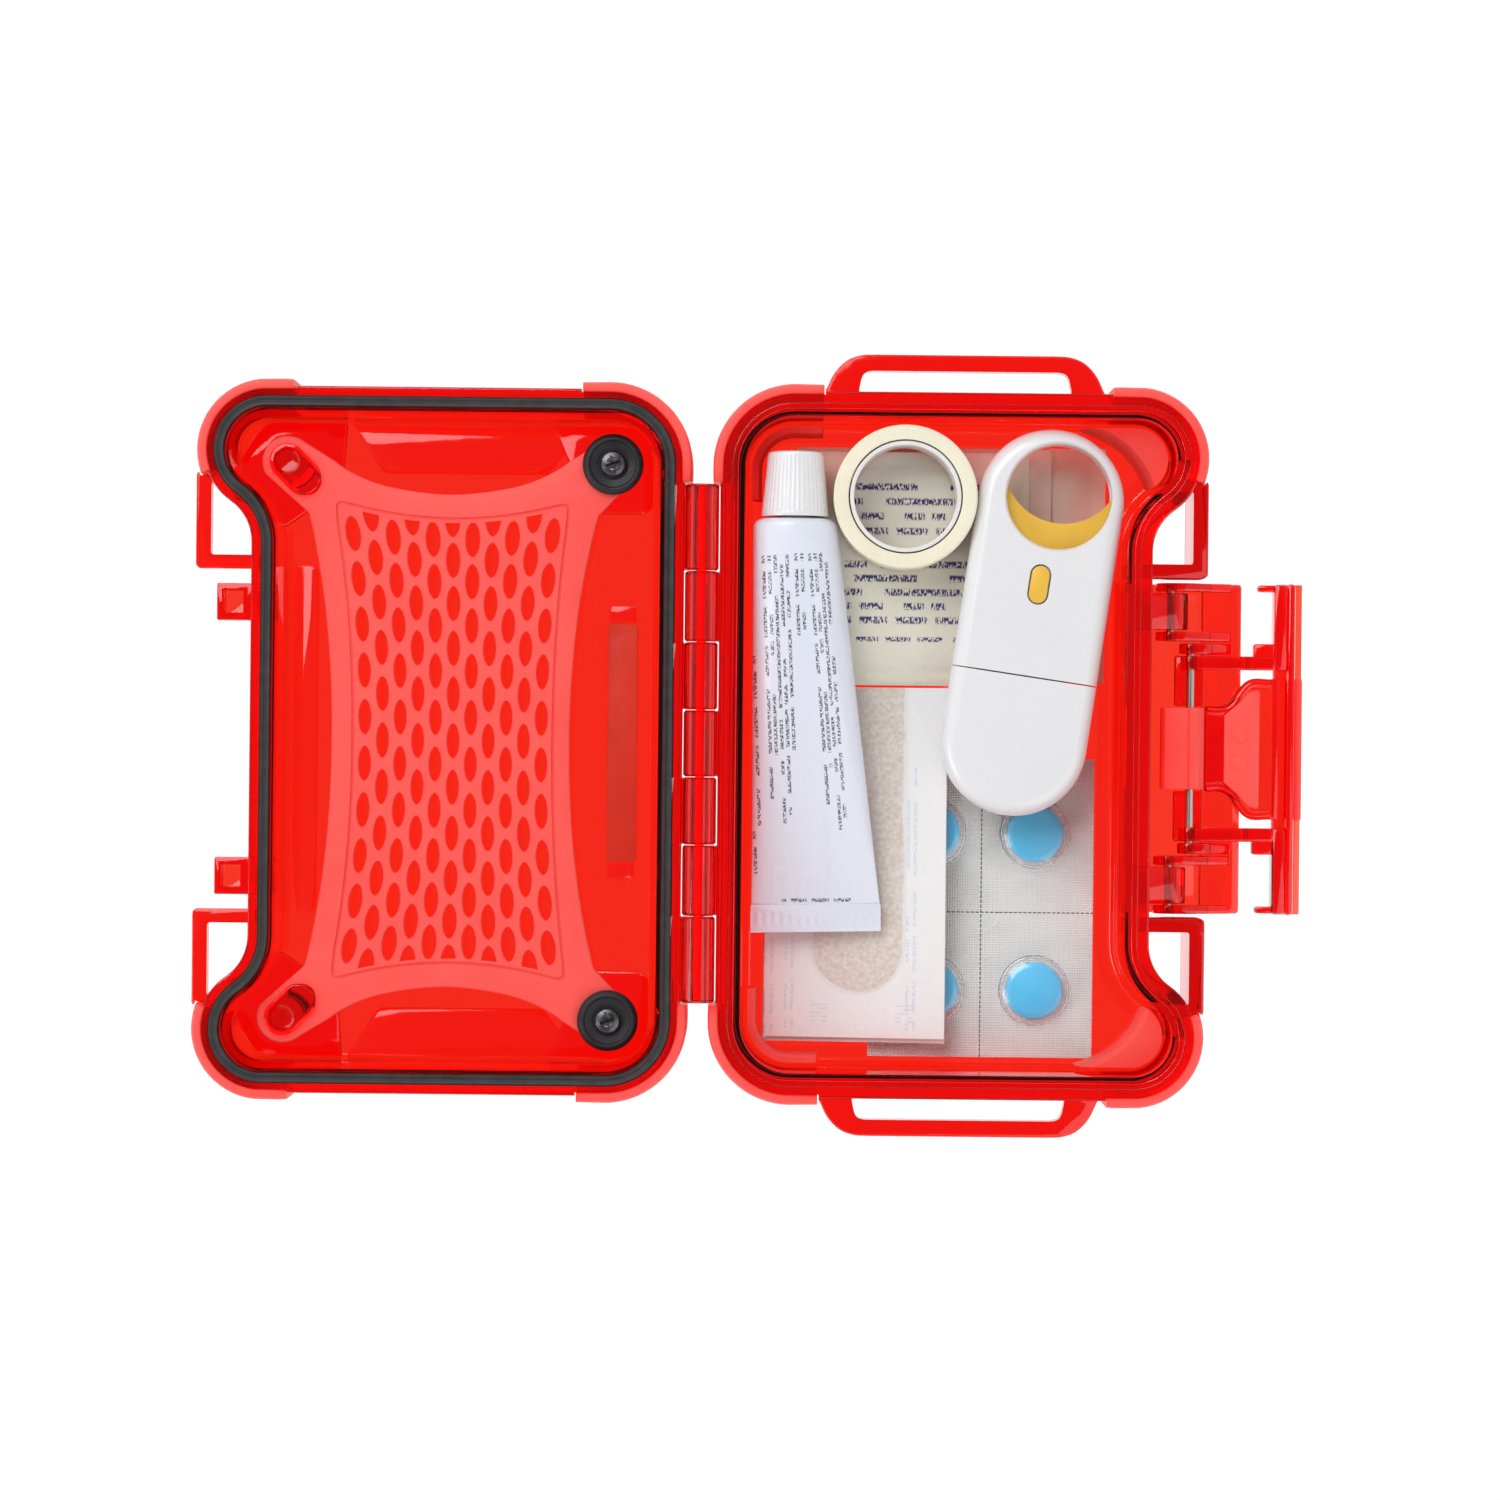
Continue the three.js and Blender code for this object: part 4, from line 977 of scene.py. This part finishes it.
def blister_card():
    z = 3.2
    body = plate(serrated(CARD_LOW, CARD_HIGH), z, z + 0.3)
    outer, inner = [], []
    for u, y in DOME_SPOTS:
        outer.append(lathe(rounded([(0, z + 0.1), (7.75, z + 0.1), (7.6, z + 2.4, 1.4), (5.6, z + 3.4, 2),
                                    (0, z + 3.4)],
                                   False), (u, y, 0), 56))
        inner.append(lathe(rounded([(0, z - 1), (7.45, z - 1), (7.3, z + 2.1, 1.3), (5.4, z + 3.1, 2),
                                    (0, z + 3.1)],
                                   False), (u, y, 0), 56))
    mark = lathe([(0, z + 0.1), (4, z + 0.2), (3.8, z + 0.5), (3, z + 0.62), (0, z + 0.64)],
                 (*CARD_MIDDLE, 0), 40)
    return cut(join(body, *outer, mark), *inner)


fine("blister_card", blister_card(), BASE, FILM, "blister_pack", 30)
for k, (u, y) in enumerate(DOME_SPOTS):
    pill = rounded([(0, 3.3), (4.8, 3.42), (6.2, 4.0, 0.4), (6.2, 4.8, 0.4), (5.2, 5.25, 0.6), (0, 5.95)],
                   False, 6)
    fine(f"tablet_{k + 1}", lathe(pill, (u, y, 0), 56), BASE, TABLET, "blister_pack", 40)


# ------------------------------------------------------------------ bandages and swabs
def soft_sheet(x0, x1, y0, y1, height, thick, columns=60, rows=90):
    """A thin sheet: height(x, y) is its underside, thick(x, y) its thickness, in millimetres."""
    bm = bmesh.new()
    grid = []
    for i in range(columns + 1):
        for j in range(rows + 1):
            x, y = x0 + (x1 - x0) * i / columns, y0 + (y1 - y0) * j / rows
            z = height(x, y)
            grid.append((bm.verts.new((x, y, z)), bm.verts.new((x, y, z + thick(x, y)))))
    at = lambda i, j: grid[i * (rows + 1) + j]
    for i in range(columns):
        for j in range(rows):
            a, b, c, d = at(i, j), at(i + 1, j), at(i + 1, j + 1), at(i, j + 1)
            bm.faces.new((a[1], b[1], c[1], d[1]))
            bm.faces.new((d[0], c[0], b[0], a[0]))
    border = [at(i, 0) for i in range(columns)] + [at(columns, j) for j in range(rows)]
    border += [at(i, rows) for i in range(columns, 0, -1)] + [at(0, j) for j in range(rows, 0, -1)]
    for a, b in zip(border, border[1:] + border[:1]):
        bm.faces.new((a[0], b[0], b[1], a[1]))
    return bm


WRAP_TILT = math.radians(7.8)
WRAPPED = BASE @ Matrix.Translation((14.2, 0, 2.9)) @ Matrix.Rotation(-WRAP_TILT, 4, "Y")
WRAP_WIDTH = 39.6 / math.cos(WRAP_TILT)
STRIP_MIDDLE, STRIP_END, STRIP_HALF = 20.6, -44, 10


def ripple(x, y, size, seed):
    return size * noise.noise((x / 14 + seed, y / 22, seed))


def wrapper(name, shows_strip):
    made = paper(name, (0.77, 0.77, 0.775), (0.70, 0.70, 0.71))
    x, y = made.axis("X"), made.axis("Y")
    if shows_strip:
        # the strip shows through the thin paper
        across = made.math("SUBTRACT", x, 14.2 + STRIP_MIDDLE * math.cos(WRAP_TILT) + HINGE.x)
        past = made.math("MINIMUM", made.math("SUBTRACT", y, STRIP_END), 0.0)
        reach = made.math("SQRT", made.math("ADD", made.math("MULTIPLY", across, across),
                                            made.math("MULTIPLY", past, past)))
        wobble = made.ramp(made.noise(140), 0.3, 0.7, -0.3, 0.3)
        inside = made.ramp(made.math("ADD", reach, wobble), STRIP_HALF - 0.5, STRIP_HALF + 0.1, 1, 0)
        blotch = made.ramp(made.noise(1100, 5), 0.3, 0.7, 0.35, 0.95)
        made.mix(made.math("MULTIPLY", inside, blotch), (0.56, 0.46, 0.38))
        made.mix(made.math("MULTIPLY", made.band(reach, STRIP_HALF, STRIP_HALF + 0.5, 0.2), 0.35),
                 (0.60, 0.58, 0.57))
    ink = (0.58, 0.63, 0.71)
    for left, low, length, wide in ((16.5, -63, 40, 3.4), (21, -62, 24, 2.2), (47.5, -62, 64, 2.6)):
        made.print_rows(ink, spot(left, low), 90, length, wide, 1.5, 0.7, 0.7)
    for left in (24.4, 43.0):
        made.print_rows(ink, spot(left, -60.6), 0, 3.8, 4.2, 0.9, 0.45, 0.45, 1.0)
    return made.material


lower = soft_sheet(0, WRAP_WIDTH, -64.8, 11.6, lambda x, y: 0.02 + ripple(x, y, 0.05, 1), lambda x, y: 0.35)
fine("bandage_wrapper_lower", lower, WRAPPED, wrapper("bandage_wrapper_back", False), "bandages", 50)
strip = plate([(30.6, 8.6), (10.6, 8.6), *arc(STRIP_MIDDLE, STRIP_END, STRIP_HALF, 180, 360, 24)], 0.7, 1.1,
              0.12)
fine("bandage_strip", strip, WRAPPED, BANDAGE, "bandages")
upper = soft_sheet(0.4, WRAP_WIDTH, -63.8, 12.6,
                   lambda x, y: 1.42 + ripple(x, y, 0.16,
                                              5) + 0.1 * (abs(x - STRIP_MIDDLE) < 10.4 and y > -54),
                   lambda x, y: 0.25)
fine("bandage_wrapper_upper", upper, WRAPPED, wrapper("bandage_wrapper_front", True), "bandages", 50)


def pouch(level, x0, x1, y0, y1, z, material, seed):
    """A small sachet, thin at its sealed edges and fuller in the middle."""
    def swell(x, y):
        edge = min(x - x0, x1 - x, y - y0, y1 - y)
        full = min(1.0, max(0.0, (edge - 3.5) / 5)) ** 0.6
        return 0.42 + 1.1 * full * (0.92 + 0.3 * noise.noise((x / 12, y / 12, seed)))

    bm = soft_sheet(x0, x1, y0, y1, lambda x, y: z, lambda x, y: min(1.58, swell(x, y)), 80, 80)
    name = f"swab_pouch_{level}"
    fine(name, bm, BASE, material, "swabs", 50)


def pouch_paper(name, color, other, printed):
    made = paper(name, color, other)
    if printed:
        ink = (0.055, 0.045, 0.16)
        for low, height, pitch, cap, size in ((45.6, 12.9, 3.22, 1.5, 0.62), (26.2, 15.2, 3.04, 1.5, 0.62),
                                              (22.4, 2.2, 2.2, 1.0, 0.5)):
            made.print_rows(ink, spot(30.8, low), 0, 34, height, pitch, cap, size, 0.85)
    return made


PINK = pouch_paper("pouch_paper_pink", (0.76, 0.64, 0.55), (0.70, 0.57, 0.48), False).material
CREAM = pouch_paper("pouch_paper", (0.74, 0.715, 0.61), (0.78, 0.755, 0.66), True).material
pouch("bottom", 36, 88, 14, 65.4, 2.7, PINK, 1)
pouch("middle", 20.4, 76, 13.8, 65, 4.6, PINK, 2)
pouch("top", 19, 71, 13.1, 64, 6.5, CREAM, 3)


# ------------------------------------------------------------------ the tape
TAPE = (43.7, 53.6)
TAPE_LOW, TAPE_HIGH, TAPE_HOLE, TAPE_R = 8.4, 20.9, 12.3, 15.5


def tape_surface():
    made = Surface("tape_cloth", (0.80, 0.745, 0.57), 0.45, Subsurface_Weight=0.15)
    made.shader.inputs["Subsurface Radius"].default_value = (0.003, 0.0022, 0.0012)
    made.mottle(60, (0.85, 0.81, 0.67), 0.7).uneven(300, 0.08)
    centre = spot(*TAPE)
    x, y = made.axis("X", 0, centre), made.axis("Y", 0, centre)
    reach = made.math("SQRT", made.math("ADD", made.math("MULTIPLY", x, x), made.math("MULTIPLY", y, y)))
    wave = made.math("SINE", made.math("MULTIPLY", reach, 2 * math.pi / 0.32))
    return made.bump(wave, 0.00004, 0.7).grain(700, 0.00005).material


roll = rounded([(TAPE_HOLE, TAPE_LOW, 0.25), (TAPE_R, TAPE_LOW, 0.5), (TAPE_R, TAPE_HIGH, 0.55),
                (TAPE_HOLE, TAPE_HIGH, 0.35)])
fine("tape_roll", lathe(roll, (*TAPE, 0), 96, closed=True), BASE, tape_surface(), "tape", 40)
core = rounded([(11.1, TAPE_LOW, 0.2), (12, TAPE_LOW, 0.2), (12, 20.7, 0.2), (11.1, 20.7, 0.25)])
fine("tape_core", lathe(core, (*TAPE, 0), 96, closed=True), BASE, CORE, "tape", 40)


# ------------------------------------------------------------------ the tube
TUBE_U, CRIMP_U, SHOULDER_Y, CRIMP_Y, TUBE_Z, CRIMP_Z = 20, 25.4, 47, -35, 15.8, 10


def tube_section(y, u, z, wide, thick, sides=72, square=2.0):
    ring = []
    for k in range(sides):
        a = 2 * math.pi * k / sides
        c, s = math.cos(a), math.sin(a)
        ring.append((u + wide * math.copysign(abs(c) ** (2 / square), c), y,
                     z + thick * math.copysign(abs(s) ** (2 / square), s)))
    return ring


def tube_body():
    steps = 40
    rings = [tube_section(y, TUBE_U, TUBE_Z, w, t) for y, w, t in
             ((59, 3.4, 3.4), (58.8, 3.6, 3.6), (48.8, 3.6, 3.6), (48.7, 7.6, 6.2), (48.1, 8.5, 6.7),
              (47.5, 8.95, 6.95))]
    for i in range(steps + 1):
        t = i / steps
        thick = 7 * (1 - t**1.6) + 0.5 * t**1.6
        u = TUBE_U + (CRIMP_U - TUBE_U) * t
        z = TUBE_Z + (CRIMP_Z - TUBE_Z) * t**1.3 + 0.3 * math.sin(math.pi * t)
        ring = tube_section(SHOULDER_Y + (CRIMP_Y - SHOULDER_Y) * t, u, z, 9.1 + 4.9 * t, thick)
        dent = 0.35 * math.sin(math.pi * t) * min(1.0, thick / 3)
        rings.append([(x, y, h - dent * max(0.0, noise.noise((x / 7, y / 26, 3)))) for x, y, h in ring])
    crimp = plate(rounded([(CRIMP_U - 14.2, -41, 0.3), (CRIMP_U + 14.2, -40.4, 0.3),
                           (CRIMP_U + 14.1, -34.4, 0.3),
                           (CRIMP_U - 14.2, -35, 0.3)]), 9.3, 10.75, 0.25)
    return merged(loft(rings), crimp)


def tube_surface():
    made = TUBE_LAMINATE
    ink = (0.10, 0.11, 0.14)
    for left, top, turn, length, wide, pitch in (
            (12.6, 40.5, -87.2, 60, 6.4, 1.28), (19.6, 41, -87.0, 22, 2.6, 1.28),
            (22.6, 41, -85.0, 62, 4.6, 1.15),
            (10.9, 19, -87.5, 42, 1.3, 1.3), (11.3, -19, -87, 12, 1.4, 1.4)):
        made.print_rows(ink, spot(left, top), turn, length, wide, pitch, 0.72, 0.6, 0.7)
    # a row of fine marks at the fold, and faint ones pressed into it
    made.print_rows((0.03, 0.03, 0.035), spot(18, -34.4), 1, 15, 0.9, 0.9, 0.75, 0.35, 1.0)
    y = made.axis("Y")
    ridge = made.math("MULTIPLY", made.math("SINE",
                                            made.math("MULTIPLY", made.axis("X"), 2 * math.pi / 1.9)),
                      made.band(y, -39.3, -36.4, 0.3))
    return made.bump(ridge, 0.00012, 0.6).material


fine("tube_body", tube_body(), BASE, tube_surface(), "tube", 35)


def tube_cap():
    ribs, sides = 40, 240
    rings = []
    for y, r, depth in ((49.2, 6.9, 0), (49.2, 7.2, 0), (49.5, 7.3, 0), (50.2, 7.25, 0), (50.3, 7.2, 0.16),
                        (62.2, 6.05, 0.16), (62.4, 6.0, 0), (62.9, 5.85, 0), (63.2, 5.4, 0)):
        rings.append([(TUBE_U + (r - depth * (0.5 + 0.5 * math.cos(ribs * a))) * math.cos(a), y,
                       TUBE_Z + (r - depth * (0.5 + 0.5 * math.cos(ribs * a))) * math.sin(a))
                      for a in (2 * math.pi * k / sides for k in range(sides))])
    return cut(loft(rings), rod_y(TUBE_U, TUBE_Z, 48, 59.8, 4, 40, 0.1))


fine("tube_cap", tube_cap(), BASE, WHITE, "tube_cap", 35)


# ------------------------------------------------------------------ the pocket tool
TOOL = BASE @ Matrix.Translation((75.2, 52.8, 10.2)) @ Matrix.Rotation(math.radians(-8.19), 4, "Z")
TOOL_R, SPLIT, TOOL_END, THICK, RING, RING_R = 15.8, -37.8, -68.3, 10, (1.5, 1.4), 11.35


def pillow(points, z0, z1, size, keep_flat):
    """A plate with broad rounded edges, all but the straight one at keep_flat."""
    rings = []
    for k in range(17):
        a = math.pi * k / 16 - math.pi / 2
        inset = size * (1 - math.cos(a))
        z = (z0 + size if a < 0 else z1 - size) + size * math.sin(a)
        rings.append([(*shrink(p, points, inset, keep_flat), z) for p in points])
    return loft(rings)


def shrink(p, points, inset, keep_flat):
    """Moves an outline point of the tool inwards: round ends towards their centre, sides across."""
    x, y = p
    centre_y = 0 if keep_flat == SPLIT else TOOL_END + TOOL_R
    beyond = (y - centre_y) * (1 if keep_flat == SPLIT else -1)
    if beyond > 0:
        length = math.hypot(x, y - centre_y)
        scale = (length - inset) / length
        return x * scale, centre_y + (y - centre_y) * scale
    return math.copysign(abs(x) - inset, x), y


def tool_body():
    outline_ = [(-TOOL_R, SPLIT), (TOOL_R, SPLIT), *arc(0, 0, TOOL_R, 0, 180, 48)]
    ring = lathe(rounded([(0, -1), (12.2, -1), (RING_R, 0.9, 1), (RING_R, 9.1, 1), (12.4, 11), (0, 11)],
                         False, 5),
                 (*RING, 0), 80)
    slot = plate(oval(0, -15.9, 0, -20.1, 2.3), THICK - 1.4, THICK + 2)
    crescent = rod_z(RING[0], RING[1] - 2.4, 3, 7, RING_R + 1.3, 64)
    body = join(pillow(outline_, 0, THICK, 3.4, SPLIT), block((-9, -62, 3.2), (9, SPLIT + 4, 6.8), 0.6))
    return cut(body, ring, slot, crescent)


def tool_cap():
    end = TOOL_END + TOOL_R
    top = SPLIT - 0.3
    outline_ = [(TOOL_R, top), (-TOOL_R, top), *arc(0, end, TOOL_R, 180, 360, 48)]
    return cut(pillow(outline_, 0, THICK, 3.4, top), block((-9.4, -62.5, 2.9), (9.4, SPLIT + 4, 7.1), 0.4))


slider = cut(rod_z(RING[0], RING[1] - 2.7, 3.3, 6.7, RING_R + 1, 72),
             rod_z(RING[0], RING[1] + 7.2, 0, 10, RING_R + 1.5, 72))
fine("tool_body", tool_body(), TOOL, WHITE, "tool", 30)
fine("tool_cap", tool_cap(), TOOL, WHITE, "tool_cap", 30)
fine("tool_slider", slider, TOOL, YELLOW, "tool", 30)
fine("tool_window", plate(oval(0, -15.9, 0, -20.1, 1.98), THICK - 1.1, THICK - 0.2, 0.2), TOOL, YELLOW,
     "tool", 35)


# ------------------------------------------------------------------ floor, light and camera
def glow(name, strength, color=(1, 1, 1)):
    material = bpy.data.materials.new(name)
    material.use_nodes = True
    shader = material.node_tree.nodes["Principled BSDF"]
    shader.inputs["Base Color"].default_value = (0, 0, 0, 1)
    shader.inputs["Roughness"].default_value = 1
    shader.inputs["Specular IOR Level"].default_value = 0
    shader.inputs["Emission Color"].default_value = (*color, 1)
    shader.inputs["Emission Strength"].default_value = strength
    return material


def floor():
    bm = bmesh.new()
    bmesh.ops.create_grid(bm, x_segments=1, y_segments=1, size=12)
    mesh = bpy.data.meshes.new("floor")
    bm.to_mesh(mesh)
    bm.free()
    mesh.materials.append(glow("floor", 1.05))
    ground = bpy.data.objects.new("floor", mesh)
    ground.location.z = CAD_BOX[0].z - 0.0004
    bpy.context.scene.collection.objects.link(ground)


def world():
    """A bright horizon that darkens overhead, so that flat faces don't mirror a white sky."""
    made = bpy.data.worlds.new("studio")
    made.use_nodes = True
    tree = made.node_tree
    coords = tree.nodes.new("ShaderNodeTexCoord")
    split = tree.nodes.new("ShaderNodeSeparateXYZ")
    fade = tree.nodes.new("ShaderNodeMapRange")
    tree.links.new(coords.outputs["Generated"], split.inputs["Vector"])
    tree.links.new(split.outputs["Z"], fade.inputs["Value"])
    for key, value in (("From Min", 0.35), ("From Max", 0.95), ("To Min", 1.0), ("To Max", 0.10)):
        fade.inputs[key].default_value = value
    tree.links.new(fade.outputs["Result"], tree.nodes["Background"].inputs["Strength"])
    tree.nodes["Background"].inputs["Color"].default_value = (1, 1, 1, 1)
    bpy.context.scene.world = made


def softbox(name, azimuth, elevation, power, size, reach=1.1, length=None):
    light = bpy.data.lights.new(name, "AREA")
    light.energy = power
    light.shape = "RECTANGLE"
    light.size = size
    light.size_y = length or size
    lamp = bpy.data.objects.new(name, light)
    a, e = math.radians(azimuth), math.radians(elevation)
    target = Vector(((CAD_BOX[0].x + CAD_BOX[1].x) / 2, 0, 0.01))
    away = Vector((math.cos(a) * math.cos(e), math.sin(a) * math.cos(e), math.sin(e)))
    lamp.location = target + away * reach
    lamp.rotation_euler = away.to_track_quat("Z", "Y").to_euler()
    bpy.context.scene.collection.objects.link(lamp)


def camera():
    """Straight above the open case, level with it but for half a degree."""
    rim = RIM * MM
    height, width = 0.95, 0.3226
    data = bpy.data.cameras.new("camera")
    data.sensor_width = 36
    data.lens = data.sensor_width * height / width
    data.clip_start, data.clip_end = 0.05, 50
    eye = bpy.data.objects.new("camera", data)
    eye.location = ((HINGE.x + 10.75) * MM, -1.3 * MM, rim + height)
    eye.rotation_euler = (0, 0, math.radians(0.6))
    bpy.context.scene.collection.objects.link(eye)
    bpy.context.scene.camera = eye


floor()
world()
softbox("key", 125, 52, 6.6, 0.7)
softbox("fill", -40, 46, 3.6, 0.9)
softbox("edge", 200, 30, 2.5, 0.5)
camera()
bpy.context.scene.view_settings.view_transform = "Standard"
bpy.context.scene.cycles.max_bounces = bpy.context.scene.cycles.transmission_bounces = 24
bpy.context.scene.cycles.transparent_max_bounces = 24
